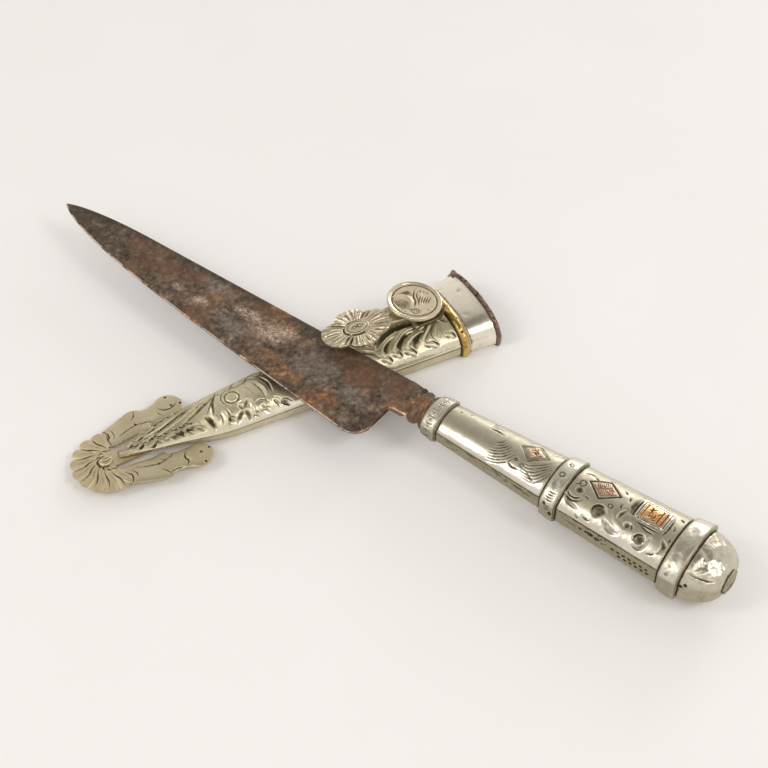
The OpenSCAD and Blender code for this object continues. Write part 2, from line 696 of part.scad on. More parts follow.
module arm() {
    head = [head_at, head_y];
    shoulder = [shoulder_at, shoulder_y];
    neck = (head + shoulder) / 2 + [0, -0.65];
    root = [shell_r / 3, shoulder_y - head_r / 2];
    difference() {
        linear_extrude(plate_t) {
            hull() {
                translate(root) circle(r = head_r * 0.8);
                translate(shoulder) circle(r = head_r);
            }
            hull() {
                translate(shoulder + [1, -0.4]) circle(r = head_r * 0.85);
                translate(neck) circle(r = neck_r);
            }
            hull() {
                translate(neck) circle(r = neck_r);
                translate(head + [-0.6, -0.3]) circle(r = head_r * 0.85);
            }
            translate(head) circle(r = head_r);
            // The scroll on the shoulder's inner side
            translate(shoulder + [1.5, -head_r + 1]) circle(r = scroll_r);
        }
        // The eye and the two pin holes in the head
        for (p = [[0.6, 3.6], [0.9, -0.5], [3.9, -1]])
            translate([head[0] + p[0], head[1] + p[1], -1]) cylinder(d = pin_d, h = plate_t + 2);
    }
}
module chape_plate() {
    color("#b8ab84") {
        shell_fan();
        for (side = [0, 1]) mirror([0, side, 0])
            translate([shell_x, 0, plate_top - plate_t]) arm();
        // The tongue under the sheath's point
        translate([shell_x - 1, -3, plate_top - plate_t]) cube([14, 6, plate_t]);
    }
}

blade();
grip_core();
front_sleeve();
rear_sleeve();
front_ferrule();
mid_ring();
rear_ring();
pommel_cap();
tang_button();
small_rhombus();
quartered_rhombus();
copper_plaque();
plaque_frame();
sheath_front();
sheath_back();
throat_band();
throat_lip();
brass_bead();
belt_hook();
medal_post();
medallion();
chape_plate();
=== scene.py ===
"""A gaucho knife lying across its metal sheath, the blade tucked under the belt hook."""
import math
import bmesh
import bpy
import numpy as np
from mathutils import Matrix, Vector


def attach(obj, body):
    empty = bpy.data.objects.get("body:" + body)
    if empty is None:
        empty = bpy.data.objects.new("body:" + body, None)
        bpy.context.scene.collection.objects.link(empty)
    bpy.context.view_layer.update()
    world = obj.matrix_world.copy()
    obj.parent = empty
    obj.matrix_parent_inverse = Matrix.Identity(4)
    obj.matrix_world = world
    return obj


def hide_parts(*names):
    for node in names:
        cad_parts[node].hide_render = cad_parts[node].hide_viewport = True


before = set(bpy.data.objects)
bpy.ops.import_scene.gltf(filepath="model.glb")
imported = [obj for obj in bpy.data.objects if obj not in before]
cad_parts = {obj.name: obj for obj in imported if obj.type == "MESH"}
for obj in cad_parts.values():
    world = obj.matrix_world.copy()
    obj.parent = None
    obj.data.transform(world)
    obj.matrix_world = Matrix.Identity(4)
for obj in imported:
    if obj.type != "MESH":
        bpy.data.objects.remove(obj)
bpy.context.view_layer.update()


# Camera and studio
# The photograph looks down at 48 degrees from the sheath's near side, with a long lens. The
# floor is pale and plain, a broad lamp hangs above the camera and the room behind is dimmer.
def placed(name, data):
    """A new object of the scene with this data."""
    obj = bpy.data.objects.new(name, data)
    bpy.context.scene.collection.objects.link(obj)
    return obj


AIM = Vector((0.0155, -0.0118, 0.0))
EYE = Vector((-0.1665, -0.3274, 0.4046))
camera_data = bpy.data.cameras.new("camera")
camera_data.sensor_width = 36.0
camera_data.lens = 77.34
camera_data.clip_start = 0.01
camera = placed("camera", camera_data)
camera.location = EYE
camera.rotation_euler = (AIM - EYE).to_track_quat("-Z", "Y").to_euler()
bpy.context.scene.camera = camera


def lamp(name, place, size, size_y, power, color):
    """A lamp that faces the middle of the floor."""
    data = bpy.data.lights.new(name, "AREA")
    data.shape = "RECTANGLE"
    data.size = size
    data.size_y = size_y
    data.energy = power
    data.color = color
    obj = placed(name, data)
    obj.location = place
    obj.rotation_euler = (-Vector(place)).to_track_quat("-Z", "Y").to_euler()


lamp("front_lamp", (0.40, -0.72, 0.95), 0.40, 0.30, 2.6, (1.0, 0.99, 0.97))
lamp("left_lamp", (-0.86, 0.17, 0.86), 0.30, 0.42, 2.5, (1.0, 0.99, 0.97))
lamp("key_lamp", (-0.42, -0.85, 1.30), 0.8, 0.3, 2.4, (1.0, 0.985, 0.96))
lamp("back_lamp", (1.55, 0.95, 0.62), 0.8, 0.5, 6.5, (0.98, 0.985, 1.0))


def feed(tree, node, inputs):
    """Gives each named input of the node its link or its value."""
    for key, value in inputs.items():
        if isinstance(value, bpy.types.NodeSocket):
            tree.links.new(value, node.inputs[key])
        else:
            node.inputs[key].default_value = value


def wire(tree, kind, inputs=None, **settings):
    """A new node with its settings and inputs."""
    node = tree.nodes.new(kind)
    for name, value in settings.items():
        setattr(node, name, value)
    feed(tree, node, inputs or {})
    return node


def noise(tree, place, scale, detail, rough=0.5):
    return wire(tree, "ShaderNodeTexNoise", {"Vector": place, "Scale": scale, "Detail": detail,
                                             "Roughness": rough}).outputs[0]


def ramp(tree, factor, stops):
    """The color at the factor's place among the stops."""
    node = wire(tree, "ShaderNodeValToRGB", {0: factor})
    points = node.color_ramp.elements
    while len(points) < len(stops):
        points.new(0.5)
    for point, (place, color) in zip(points, stops):
        point.position = place
        point.color = (*color, 1.0)
    return node.outputs["Color"]


def paint(name):
    """A new material, with its node tree, its shader and its place on the object."""
    made = bpy.data.materials.new(name)
    made.use_nodes = True
    tree = made.node_tree
    return made, tree, tree.nodes["Principled BSDF"], wire(tree, "ShaderNodeTexCoord").outputs["Object"]


# The room is bright and warm round the floor and darker overhead
room = bpy.data.worlds.new("studio")
bpy.context.scene.world = room
room.use_nodes = True
tree = room.node_tree
toward = wire(tree, "ShaderNodeTexCoord").outputs["Generated"]
height = wire(tree, "ShaderNodeSeparateXYZ", {0: toward}).outputs["Z"]
glow = ramp(tree, height, [(0.0, (0.90, 0.875, 0.85)), (0.66, (0.76, 0.73, 0.69)),
                           (0.84, (0.60, 0.57, 0.52)), (0.96, (0.20, 0.19, 0.17))])
feed(tree, tree.nodes["Background"], {"Color": glow, "Strength": 1.0})
bpy.context.scene.view_settings.view_transform = "Standard"

floor_mesh = bpy.data.meshes.new("floor")
floor_mesh.from_pydata([(-3, -3, 0), (3, -3, 0), (3, 3, 0), (-3, 3, 0)], [], [(0, 1, 2, 3)])
floor = placed("floor", floor_mesh)
floor_finish, tree, shader, place = paint("floor_paint")
cloud = noise(tree, place, 14.0, 6.0)
pale = ramp(tree, cloud, [(0.3, (0.895, 0.882, 0.876)), (0.7, (0.915, 0.902, 0.898))])
feed(tree, shader, {"Base Color": pale, "Roughness": 0.6})
floor_mesh.materials.append(floor_finish)


# Sheath front
# The raised front of the sheath is one sheet of nickel silver, embossed with leaves, buds and
# curling stems, polished along its shoulders, with a painted highlight on the near one, and
# soldered along the seam to the plain back.
def mix(a, b, t):
    return a + (b - a) * t


def clamp01(t):
    return np.clip(t, 0.0, 1.0)


def smooth(t):
    return clamp01(t) ** 2 * (3 - 2 * clamp01(t))


# The body's point and its end at the throat band, in millimetres along X
TIP_X, BODY_X = -73.8, 45.3


def sheath_half(x):
    """Half the width at x."""
    narrowing = clamp01((-x - 35) / 38.8) ** 2.6
    return mix(22.3, 29, x / BODY_X) / 2 * (1 - 0.8 * narrowing)


def sheath_bottom(x):
    return 4.6 * smooth((-x - 35) / 23)


def sheath_top(x):
    return mix(mix(10.3, 10.9, x / BODY_X), 6.6, clamp01(x / TIP_X) ** 2)


def sheath_seam(x):
    return mix(sheath_bottom(x), sheath_top(x), 0.42)


def flare(x):
    """How much the throat widens at x."""
    return 0.5 * smooth((x - BODY_X) / 11.3)


def wall(x, full):
    """The sheet's thickness at x, which is less where the sheath gets narrow."""
    return min(full, 0.6 * min(sheath_half(x), sheath_seam(x) - sheath_bottom(x)))


def even(path, count):
    """The path's points laid out again at even distances."""
    path = np.asarray(path, float)
    run = np.concatenate([[0], np.cumsum(np.linalg.norm(np.diff(path, axis=0), axis=1))])
    at = np.linspace(0, run[-1], count)
    return np.stack([np.interp(at, run, path[:, k]) for k in range(path.shape[1])], axis=1)


def front_path(x, d, count):
    """The front's arch at x from seam to seam, grown outwards by d."""
    bend = math.radians(14)
    p = 2 / 2.6
    a = np.linspace(bend, math.pi - bend, 361)
    across = np.sign(np.cos(a)) * np.abs(np.cos(a)) ** p / math.cos(bend) ** p
    up = (np.sin(a) ** p - math.sin(bend) ** p) / (1 - math.sin(bend) ** p)
    low = sheath_seam(x)
    high = sheath_top(x) + flare(x) + d - low
    path = np.stack([np.full_like(a, x), (sheath_half(x) + flare(x) + d) * across, low + high * up], 1)
    return even(path, count)


def quads(first, m, n, wrap):
    """Faces of a grid of m rows with n points each, whose points start at first."""
    last = n if wrap else n - 1
    return [(first + i * n + j, first + i * n + (j + 1) % n,
             first + (i + 1) * n + (j + 1) % n, first + (i + 1) * n + j)
            for i in range(m - 1) for j in range(last)]


def stitch(a, b):
    """Triangles between two chains of points with different counts."""
    faces = []
    k = 0
    for j in range(len(a) - 1):
        faces.append((a[j], a[j + 1], b[k]))
        goal = round((j + 1) / (len(a) - 1) * (len(b) - 1))
        while k < goal:
            faces.append((a[j + 1], b[k + 1], b[k]))
            k += 1
    return faces


def shell(outer, inner, wrap):
    """Points and faces of a sheet between an outer and an inner grid, joined along all edges."""
    m, n = outer.shape[:2]
    rows, across = inner.shape[:2]
    start = m * n
    points = np.concatenate([outer.reshape(-1, 3), inner.reshape(-1, 3)])
    faces = quads(0, m, n, wrap) + quads(start, rows, across, wrap)
    for row, base in ((0, start), (m - 1, start + (rows - 1) * across)):
        top = [row * n + j for j in range(n)]
        low = [base + j for j in range(across)]
        faces += stitch(top + top[:1] * wrap, low + low[:1] * wrap)
    if not wrap:
        for j, q in ((0, 0), (n - 1, across - 1)):
            faces += stitch([i * n + j for i in range(m)], [start + i * across + q for i in range(rows)])
    return points, faces


def note(mesh, name, values):
    """Keeps a number or a vector for each point of the mesh."""
    values = np.asarray(values, float)
    kind, key = ("FLOAT", "value") if values.ndim == 1 else ("FLOAT_VECTOR", "vector")
    mesh.attributes.new(name, kind, "POINT").data.foreach_set(key, values.ravel())


def piece(name, points, faces, flat=None, worked=None, corner=50, rubbed=1.0):
    """A mesh object from points in millimetres. flat is each point's place on the laid-out
    surface, worked says where between 0 and 1 the relief may move it, and the last argument
    says where the metal is polished by hands and not matt. That last argument also paints
    highlights on the near shoulders, and below nought it paints the shade on the hook's bend."""
    mesh = bpy.data.meshes.new(name)
    mesh.from_pydata((np.asarray(points) * 0.001).tolist(), [], faces)
    count = len(points)
    spots = np.zeros((count, 3))
    if flat is not None:
        spots[:len(flat), :2] = flat
    reach = np.zeros(count)
    if worked is not None:
        reach[:len(worked)] = worked
    shine = np.full(count, rubbed) if np.isscalar(rubbed) else np.concatenate(
        [rubbed, np.zeros(count - len(rubbed))])
    for attribute_name, values in (("flat", spots), ("worked", reach), ("rubbed", shine)):
        note(mesh, attribute_name, values)
    bm = bmesh.new()
    bm.from_mesh(mesh)
    bmesh.ops.recalc_face_normals(bm, faces=bm.faces)
    bm.to_mesh(mesh)
    bm.free()
    mesh.polygons.foreach_set("use_smooth", [True] * len(mesh.polygons))
    mesh.set_sharp_from_angle(angle=math.radians(corner))
    return placed(name, mesh)


def sheet(name, outer, inner, wrap, worked, lift=0.0, **finish):
    """A piece between two grids, laid out by its outer points' own X and Y."""
    points, faces = shell(outer, inner, wrap)
    points[:, 2] += lift
    return piece(name, points, faces, outer[:, :, :2].reshape(-1, 2), worked.ravel(), **finish)


def curve(points, count=14):
    """A smooth line through the points."""
    p = np.asarray(points, float)
    p = np.concatenate([2 * p[:1] - p[1:2], p, 2 * p[-1:] - p[-2:-1]])
    t = np.linspace(0, 1, count)[:, None]
    parts = []
    for a, b, c, d in zip(p[:-3], p[1:-2], p[2:-1], p[3:]):
        parts.append(b + (c - a) * t / 2 + (2 * a - 5 * b + 4 * c - d) * t ** 2 / 2
                     + (3 * b - a - 3 * c + d) * t ** 3 / 2)
    return np.concatenate(parts)


def ring(x, y, r, r2=None, turn=0.0, sweep=360.0, start=0.0):
    """A circle or an oval, or an arc of it."""
    a = np.radians(np.linspace(start, start + sweep, max(8, int(sweep / 12))))
    u, v = r * np.cos(a), (r2 or r) * np.sin(a)
    c, s = math.cos(math.radians(turn)), math.sin(math.radians(turn))
    return np.stack([x + c * u - s * v, y + s * u + c * v], 1)


def chased(wide, deep, *points):
    """A smooth stroke through the points that thins out towards its ends."""
    return curve(points), wide, deep, True


def arced(wide, deep, *arc):
    """A part of a ring that thins out towards its ends."""
    return ring(*arc), wide, deep, True


def punched(wide, deep, *circle):
    """A ring or a pit of even width."""
    return ring(*circle), wide, deep, False


def scored(wide, deep, start, end, count):
    """A straight line of even width."""
    return np.linspace(start, end, count), wide, deep, False


def framed(wide, deep, corners, count):
    """Straight lines of even width from corner to corner and back to the first."""
    return [scored(wide, deep, a, b, count) for a, b in zip(corners, corners[1:] + corners[:1])]


def marks(name, strokes):
    """Chased strokes as a mesh of edges on the laid-out surface, each with its half width,
    its height or depth, and whether it thins out towards its ends, all in millimetres."""
    points, edges, half, rise = [], [], [], []
    for line, wide, deep, thin in strokes:
        start = len(points)
        t = np.linspace(0, 1, len(line))
        taper = (0.25 + 0.75 * np.sin(np.pi * clamp01(t)) ** 0.7) if thin else np.ones(len(line))
        points += [(x, y, 0.0) for x, y in line]
        half += list(wide * taper)
        rise += list(deep * taper)
        edges += [(start + k, start + k + 1) for k in range(len(line) - 1)]
    mesh = bpy.data.meshes.new(name)
    mesh.from_pydata(points, edges, [])
    note(mesh, "half", half)
    note(mesh, "rise", rise)
    return placed(name, mesh)


def sockets(tree, taken, made):
    """Gives the tree its named inputs and outputs, and returns what its inputs bring."""
    for way, kinds in (("INPUT", taken), ("OUTPUT", made)):
        for name, kind in kinds.items():
            tree.interface.new_socket(name, in_out=way, socket_type=kind)
    return wire(tree, "NodeGroupInput").outputs


def calc(tree, operation, *values):
    return wire(tree, "ShaderNodeMath", dict(enumerate(values)), operation=operation).outputs[0]


def relief_tree():
    """Raises and sinks a surface along its normals, by the height of the nearest stroke of each
    of two kinds and by soft dents, and notes the hollows for the dirt."""
    tree = bpy.data.node_groups.new("Relief", "GeometryNodeTree")
    given = sockets(tree, {"Geometry": "NodeSocketGeometry", "Forms": "NodeSocketObject",
                           "Lines": "NodeSocketObject", "Dent Depth": "NodeSocketFloat",
                           "Dent Size": "NodeSocketFloat", "Form Dirt": "NodeSocketFloat",
                           "Finish": "NodeSocketMaterial"}, {"Geometry": "NodeSocketGeometry"})

    def named(name, kind):
        return wire(tree, "GeometryNodeInputNamedAttribute", {"Name": name},
                    data_type=kind).outputs["Attribute"]

    flat = named("flat", "FLOAT_VECTOR")
    worked = named("worked", "FLOAT")
    heights = []
    for layer in ("Forms", "Lines"):
        source = wire(tree, "GeometryNodeObjectInfo", {"Object": given[layer]}).outputs["Geometry"]
        near = wire(tree, "GeometryNodeProximity", {0: source, "Source Position": flat},
                    target_element="EDGES")
        index = wire(tree, "GeometryNodeSampleNearest", {
            "Geometry": source, "Sample Position": near.outputs["Position"]}).outputs["Index"]
        wide, deep = (wire(tree, "GeometryNodeSampleIndex", {
            "Geometry": source, "Value": named(name, "FLOAT"), "Index": index}).outputs[0]
            for name in ("half", "rise"))
        share = calc(tree, "MINIMUM", calc(tree, "DIVIDE", near.outputs["Distance"], wide), 1.0)
        fall = calc(tree, "SUBTRACT", 1.0, calc(tree, "MULTIPLY", share, share))
        heights.append(calc(tree, "MULTIPLY", deep, calc(tree, "POWER", fall, 1.5)))
    spot = wire(tree, "GeometryNodeInputPosition").outputs[0]
    # The dents go down more than they go up
    dents = noise(tree, spot, calc(tree, "DIVIDE", 1000.0, given["Dent Size"]), 2.0)
    dents = calc(tree, "MULTIPLY", calc(tree, "SUBTRACT", dents, 0.58), given["Dent Depth"])
    total = calc(tree, "MULTIPLY", calc(tree, "ADD", calc(tree, "ADD", *heights), dents), worked)
    # Dirt stays in the narrow lines and less in the broad hollows
    broad = calc(tree, "MULTIPLY", heights[0], given["Form Dirt"])
    hollow = calc(tree, "MULTIPLY", calc(tree, "ADD", broad, heights[1]), worked)
    normal = wire(tree, "GeometryNodeInputNormal").outputs[0]
    offset = wire(tree, "ShaderNodeVectorMath", {0: normal, "Scale": calc(tree, "MULTIPLY", total, 0.001)},
                  operation="SCALE").outputs[0]
    kept = wire(tree, "GeometryNodeStoreNamedAttribute", {
        "Geometry": given["Geometry"], "Name": "relief", "Value": hollow}, data_type="FLOAT")
    moved = wire(tree, "GeometryNodeSetPosition", {"Geometry": kept.outputs[0], "Offset": offset})
    real = wire(tree, "GeometryNodeRealizeInstances", {0: moved.outputs[0]})
    done = wire(tree, "GeometryNodeSetMaterial", {0: real.outputs[0], "Material": given["Finish"]})
    wire(tree, "NodeGroupOutput", {0: done.outputs[0]})
    return tree


def put(obj, tree, values):
    """Runs a node tree on the object and keeps the result as its plain mesh."""
    modifier = obj.modifiers.new(tree.name, "NODES")
    modifier.node_group = tree
    for item in tree.interface.items_tree:
        if item.in_out == "INPUT" and item.name in values:
            modifier[item.identifier] = values[item.name]
    bpy.context.view_layer.update()
    solved = obj.evaluated_get(bpy.context.evaluated_depsgraph_get())
    mesh = bpy.data.meshes.new_from_object(solved)
    obj.modifiers.clear()
    obj.data = mesh


def carve(obj, forms, lines, dents, finish, form_dirt=0.5):
    """Works the strokes and the dents, given by their depth and size, into the piece."""
    tools = [marks(obj.name + "_forms", forms), marks(obj.name + "_lines", lines)]
    put(obj, RELIEF, {"Forms": tools[0], "Lines": tools[1], "Dent Depth": dents[0],
                      "Dent Size": dents[1], "Form Dirt": form_dirt, "Finish": finish})
    for tool in tools:
        bpy.data.objects.remove(tool)


RELIEF = relief_tree()


def remap(tree, value, low, high, start=0.0, end=1.0, **settings):
    """The value's way from low to high, laid out from start to end."""
    return wire(tree, "ShaderNodeMapRange", {0: value, 1: low, 2: high, 3: start, 4: end},
                **settings).outputs[0]


def blend(tree, mask, a, b):
    """Color a, and color b where the mask is one."""
    values = {0: mask}
    for key, color in ((6, a), (7, b)):
        values[key] = color if isinstance(color, bpy.types.NodeSocket) else (*color, 1.0)
    return wire(tree, "ShaderNodeMix", values, data_type="RGBA").outputs[2]


def bumps(tree, height, strength):
    return wire(tree, "ShaderNodeBump", {"Height": height, "Strength": strength,
                                         "Distance": 0.0003}).outputs[0]


def attribute(tree, name, output="Fac"):
    return wire(tree, "ShaderNodeAttribute", attribute_name=name).outputs[output]


def wear_group():
    """Clouds of tarnish, dirt that stays in the hollows, and fine scratches."""
    tree = bpy.data.node_groups.new("Wear", "ShaderNodeTree")
    given = sockets(tree, {"Vector": "NodeSocketVector", "Relief": "NodeSocketFloat",
                           "Dirt Depth": "NodeSocketFloat"},
                    {"Cloud": "NodeSocketFloat", "Dirt": "NodeSocketFloat",
                     "Specks": "NodeSocketFloat", "Height": "NodeSocketFloat"})
    place = given["Vector"]
    cloud = noise(tree, place, 160.0, 7.0, 0.62)
    patch = noise(tree, place, 55.0, 3.0)
    cloud = remap(tree, calc(tree, "ADD", cloud, patch), 0.72, 1.28)
    depth = calc(tree, "DIVIDE", given["Relief"], given["Dirt Depth"])
    grain = calc(tree, "SUBTRACT", noise(tree, place, 700.0, 3.0), 0.5)
    dirt = remap(tree, calc(tree, "ADD", depth, grain), 0.0, -1.0, interpolation_type="SMOOTHSTEP")
    spots = wire(tree, "ShaderNodeTexVoronoi", {"Vector": place, "Scale": 420.0}).outputs["Distance"]
    specks = calc(tree, "MULTIPLY", remap(tree, spots, 0.16, 0.06), remap(tree, patch, 0.61, 0.72))
    turned = wire(tree, "ShaderNodeMapping", {"Vector": place, "Rotation": (0.2, 0.1, 0.9),
                                              "Scale": (1500.0, 130.0, 900.0)}).outputs[0]
    hair = noise(tree, turned, 1.0, 2.0)
    height = calc(tree, "MULTIPLY_ADD", hair, 0.25, noise(tree, place, 420.0, 5.0))
    wire(tree, "NodeGroupOutput", {"Cloud": cloud, "Dirt": dirt, "Specks": specks, "Height": height})
    return tree


WEAR = wear_group()


def metal(name, bright, dull, matt, dark, rough, dirt_depth=0.22, bump=0.25):
    """Worn metal: bright or dull in clouds where hands have polished it, matt elsewhere, and dark in
    the hollows of the relief and where the per-point wear value lies below nought. That value
    also paints highlights on the near shoulders where it is high, and below nought it also
    paints the shade on the hook's bend under the medallion."""
    finish, tree, shader, place = paint(name)
    masks = wire(tree, "ShaderNodeGroup", {"Vector": place, "Relief": attribute(tree, "relief"),
                                           "Dirt Depth": dirt_depth}, node_tree=WEAR).outputs
    face = blend(tree, masks["Cloud"], bright, dull)
    patchy = calc(tree, "MULTIPLY_ADD", masks["Height"], 0.5, attribute(tree, "rubbed"))
    # Dark below nought: soot and dirt in most places, and painted shade on the hook's bend under the
    # medallion
    soot_and_shade = remap(tree, patchy, 0.3, -0.5, 0.0, 0.9)
    rubbed = remap(tree, patchy, 0.3, 1.3)
    face = blend(tree, rubbed, matt, face)
    for mask in (soot_and_shade, masks["Specks"], masks["Dirt"]):
        face = blend(tree, mask, face, dark)
    gloss = remap(tree, masks["Cloud"], 0.0, 1.0, *rough)
    gloss = calc(tree, "MULTIPLY_ADD", masks["Dirt"], 0.3, gloss)
    haze = remap(tree, rubbed, 0.0, 1.0, 0.26, -0.04)
    feed(tree, shader, {"Metallic": 1.0, "Base Color": face, "Roughness": calc(tree, "ADD", gloss, haze),
                        "Normal": bumps(tree, masks["Height"], bump)})
    return finish


front_xs = np.concatenate([np.linspace(TIP_X, -70, 16)[:-1], np.linspace(-70, BODY_X, 400)])
outer = np.stack([front_path(x, 0.0, 150) for x in front_xs])
inner = np.stack([front_path(x, -wall(x, 1.2), 20) for x in front_xs[::8]])
side = np.abs(outer[:, :, 1]) / outer[:, :1, 1]
worked = smooth((0.985 - side) / 0.06) * smooth((outer[:, :, 0] + 73.5) / 2)
# Hands have polished the near shoulder, and the far one a little; the near one's extra brightness is a
# painted highlight
bright_from = mix(0.84, 0.91, smooth((-outer[:, :, 0] - 44) / 16))
shoulder_polish_and_highlight = np.where(outer[:, :, 1] < 0, 1.0, 0.6) * smooth((side - bright_from) / 0.05)
rubbed = mix(mix(0.2, -0.28, smooth((-outer[:, :, 0] - 40) / 12)), 1.0, shoulder_polish_and_highlight)
# Old dirt fills the seam
rubbed[:, [0, 1, -2, -1]] = -0.9
sheath_front = sheet("sheath_front_metal", outer, inner, False, worked, lift=0.05, corner=60,
                     rubbed=rubbed.ravel())

forms, lines = [], []
# The disc in its ring, the oval bud and the hollow leaf with four points
lines += [punched(0.5, -0.34, -33.7, 0.6, 2.4), punched(0.4, -0.26, -28.9, 5.7, 2.9, 1.5, 14)]
forms += [punched(1.3, 0.22, -33.7, 0.6, 0.9), chased(1.1, 0.25, (-30.4, 5.6), (-27.6, 6.1))]
lines += [chased(0.42, -0.3, (-30.2, 3.4), (-34.4, 4.5), (-37.2, 1.5), (-36.4, -1.7), (-34, -3.1))]
forms += [chased(0.95, -0.62, (-32.2, -5.4), tip)
          for tip in [(-29.6, -2.2), (-30.9, -8.8), (-35.9, -7.9), (-33.4, -3.0)]]
forms += [chased(0.8, 0.42, (-28.8, -2.9), (-29.3, -5.4), (-29.4, -8.2)),
          chased(0.5, 0.3, (-34.2, -2.0), (-31.9, -2.2), (-29.7, -0.8))]
# The small boss with a pit, and the long curved leaves next to the blade
lines += [punched(0.42, -0.3, -26.3, -6.9, 0.25),
          chased(0.35, -0.22, (-28.6, -5.4), (-26.4, -4.6), (-24.2, -6.2), (-24.6, -8.4)),
          chased(0.45, -0.32, (-25.4, 3.2), (-24.4, -0.4), (-24.3, -4.2), (-25.3, -8.6)),
          chased(0.3, -0.2, (-28.4, 2.9), (-27.4, -0.1), (-27.2, -3.6)),
          chased(0.6, -0.42, (-22.7, 4.6), (-21.2, 0.4), (-21.4, -4.2)),
          chased(0.4, -0.3, (-26.0, 6.0), (-23.6, 6.8), (-20.8, 5.6))]
forms += [punched(1.3, 0.2, -26.3, -6.9, 0.6),
          chased(0.6, 0.32, (-23.9, 2.0), (-22.9, -1.4), (-23.2, -5.0))]
# Two crescents, the dark bell between the stems and the stems themselves
lines += [chased(0.45, -0.4, (-37.9, -1.6), (-37.2, -4.6), (-38.5, -8.0)),
          chased(0.4, -0.36, (-40.3, -2.4), (-39.8, -5.0), (-40.8, -7.4))]
forms += [chased(0.75, 0.4, (-39.1, -2.6), (-38.5, -5.2), (-39.7, -7.9)),
          chased(1.5, -0.8, (-44.7, -1.8), (-43.6, -4.5), (-42.9, -7.3)),
          chased(0.6, 0.4, (-46.4, -1.9), (-45.6, -4.6), (-44.2, -7.6)),
          chased(0.55, 0.36, (-43.0, -1.2), (-42.0, -3.8), (-41.6, -6.6)),
          chased(0.9, -0.6, (-36.6, 6.0), (-39.4, 4.2), (-43.4, 2.2), (-48.4, 0.0), (-54.4, -2.2)),
          chased(0.85, -0.6, (-37.4, 5.6), (-40.1, 1.6), (-41.4, -1.6), (-42.0, -3.4)),
          chased(0.55, 0.36, (-38.4, 6.6), (-43.6, 4.2), (-50.0, 1.8), (-56.0, 0.0), (-61.0, -1.0)),
          chased(0.6, 0.42, (-46.6, 5.6), (-53.0, 3.4), (-59.0, 1.6), (-65.0, 0.6))]
lines += [chased(0.35, -0.3, (-38.6, 4.5), (-42.2, 0.0), (-44.2, -2.4)),
          chased(0.46, -0.42, (-46.0, 4.6), (-53.0, 2.5), (-60.0, 0.6), (-67.0, -0.2)),
          chased(0.46, -0.4, (-47.0, 7.0), (-54.0, 5.4), (-61.0, 3.4), (-68.0, 1.6))]
# A hatched leaf above the ridges, a dark hollow with two small leaves below them
for k in range(17):
    x = -47.0 - 0.95 * k
    y = 3.9 - 0.29 * k
    lines += [(np.array([(x, y + 0.7), (x - 0.75, y - 0.9)]), 0.34, -0.34, True),
              (np.array([(x - 0.75, y + 0.6), (x, y - 0.8)]), 0.2, -0.16, True)]
forms += [chased(1.5, -0.62, (-47.6, -3.4), (-53.0, -4.1), (-59.0, -3.6)),
          chased(0.55, 0.5, (-49.4, -2.0), (-52.2, -3.4), (-51.6, -5.8)),
          chased(0.5, 0.45, (-54.8, -1.9), (-57.4, -3.0), (-57.2, -4.9))]
lines += [chased(0.3, -0.26, (-50.8, -1.6), (-53.6, -3.4), (-52.9, -5.6)),
          chased(0.28, -0.24, (-56.4, -1.4), (-59.0, -2.6), (-58.8, -4.4))]
small_leaves = [(-61.6, 2.6), (-62.6, -0.4), (-63.2, -3.0), (-66.0, 1.4), (-66.6, -1.4), (-69.6, 0.4)]
for k, (x, y) in enumerate(small_leaves):
    reach = 1.7 - 0.14 * k
    forms.append(chased(0.7, 0.42, (x + reach, y + 0.9), (x, y), (x - reach, y - 0.3)))
    lines.append(chased(0.55, -0.5, (x + reach, y + 0.1), (x + 0.2, y - 0.8), (x - reach, y - 1.0)))
for (x, y), (u, v) in [
        ((-24.4, -9.0), (-27.4, -7.9)), ((-28.2, -8.9), (-30.4, -8.3)), ((-36.2, -7.6), (-38.2, -6.4)),
        ((-46.6, -6.3), (-48.8, -4.4)), ((-50.4, -5.6), (-52.6, -4.4)), ((-54.6, -4.8), (-56.8, -3.6)),
        ((-60.2, -3.9), (-62.4, -2.6)), ((-17.4, -9.2), (-20.4, -8.2)), ((-20.6, -8.8), (-22.2, -6.6))]:
    forms.append(chased(0.8, -0.5, (x, y), ((x + u) / 2 - 0.2, (y + v) / 2 + 0.5), (u, v)))
    lines.append(chased(0.28, -0.3, (x + 0.8, y + 0.4), ((x + u) / 2 + 0.7, (y + v) / 2 + 1.1),
                        (u + 0.5, v + 1.0)))
for k in range(8):
    x = -48.6 - 2.6 * k
    lines += [arced(0.44, -0.44, x, 5.9 - 0.45 * k, 0.9, 0.7, 30, 250, 40),
              arced(0.44, -0.42, x - 1.2, -1.5 + 0.16 * k, 0.85, 0.7, -20, 240, 150)]
# The deep folds of the large leaf beside the throat, with its crests and its curled tips
forms += [chased(2.3, -0.95, (36.2, -2.2), (31.2, -1.2), (25.4, -0.6), (19.8, -2.4), (16.4, -5.2)),
          chased(1.3, -0.8, (30.8, -4.6), (27.0, -5.0), (24.2, -7.0), (23.4, -9.6)),
          chased(1.5, -0.85, (35.6, -4.2), (32.0, -6.6), (29.4, -8.2), (28.6, -10.2)),
          chased(1.1, -0.7, (22.2, -4.4), (19.6, -5.8), (18.6, -8.0)),
          chased(1.7, -0.85, (42.0, 6.0), (35.0, 7.0), (27.0, 6.6), (20.0, 4.4)),
          chased(0.9, -0.6, (40.4, -2.0), (41.6, -4.6), (43.0, -6.6))]
for wide, high, *crest in [(0.75, 0.36, (32.2, -3.2), (27.8, -3.2), (24.2, -5.2), (21.6, -7.4), (21.6, -9.4)),
                           (0.7, 0.3, (34.0, -5.6), (29.8, -6.2), (26.4, -7.8), (25.8, -10.2)),
                           (0.9, 0.36, (37.4, -4.0), (34.2, -6.6), (31.8, -8.8), (32.8, -11.0)),
                           (0.7, 0.3, (25.2, -2.8), (20.8, -4.0), (17.8, -6.2), (17.6, -8.8))]:
    forms.append(chased(wide, high, *crest))
    lines.append(chased(0.32, -0.3, *(np.array(crest) + [1.0, -0.4])))
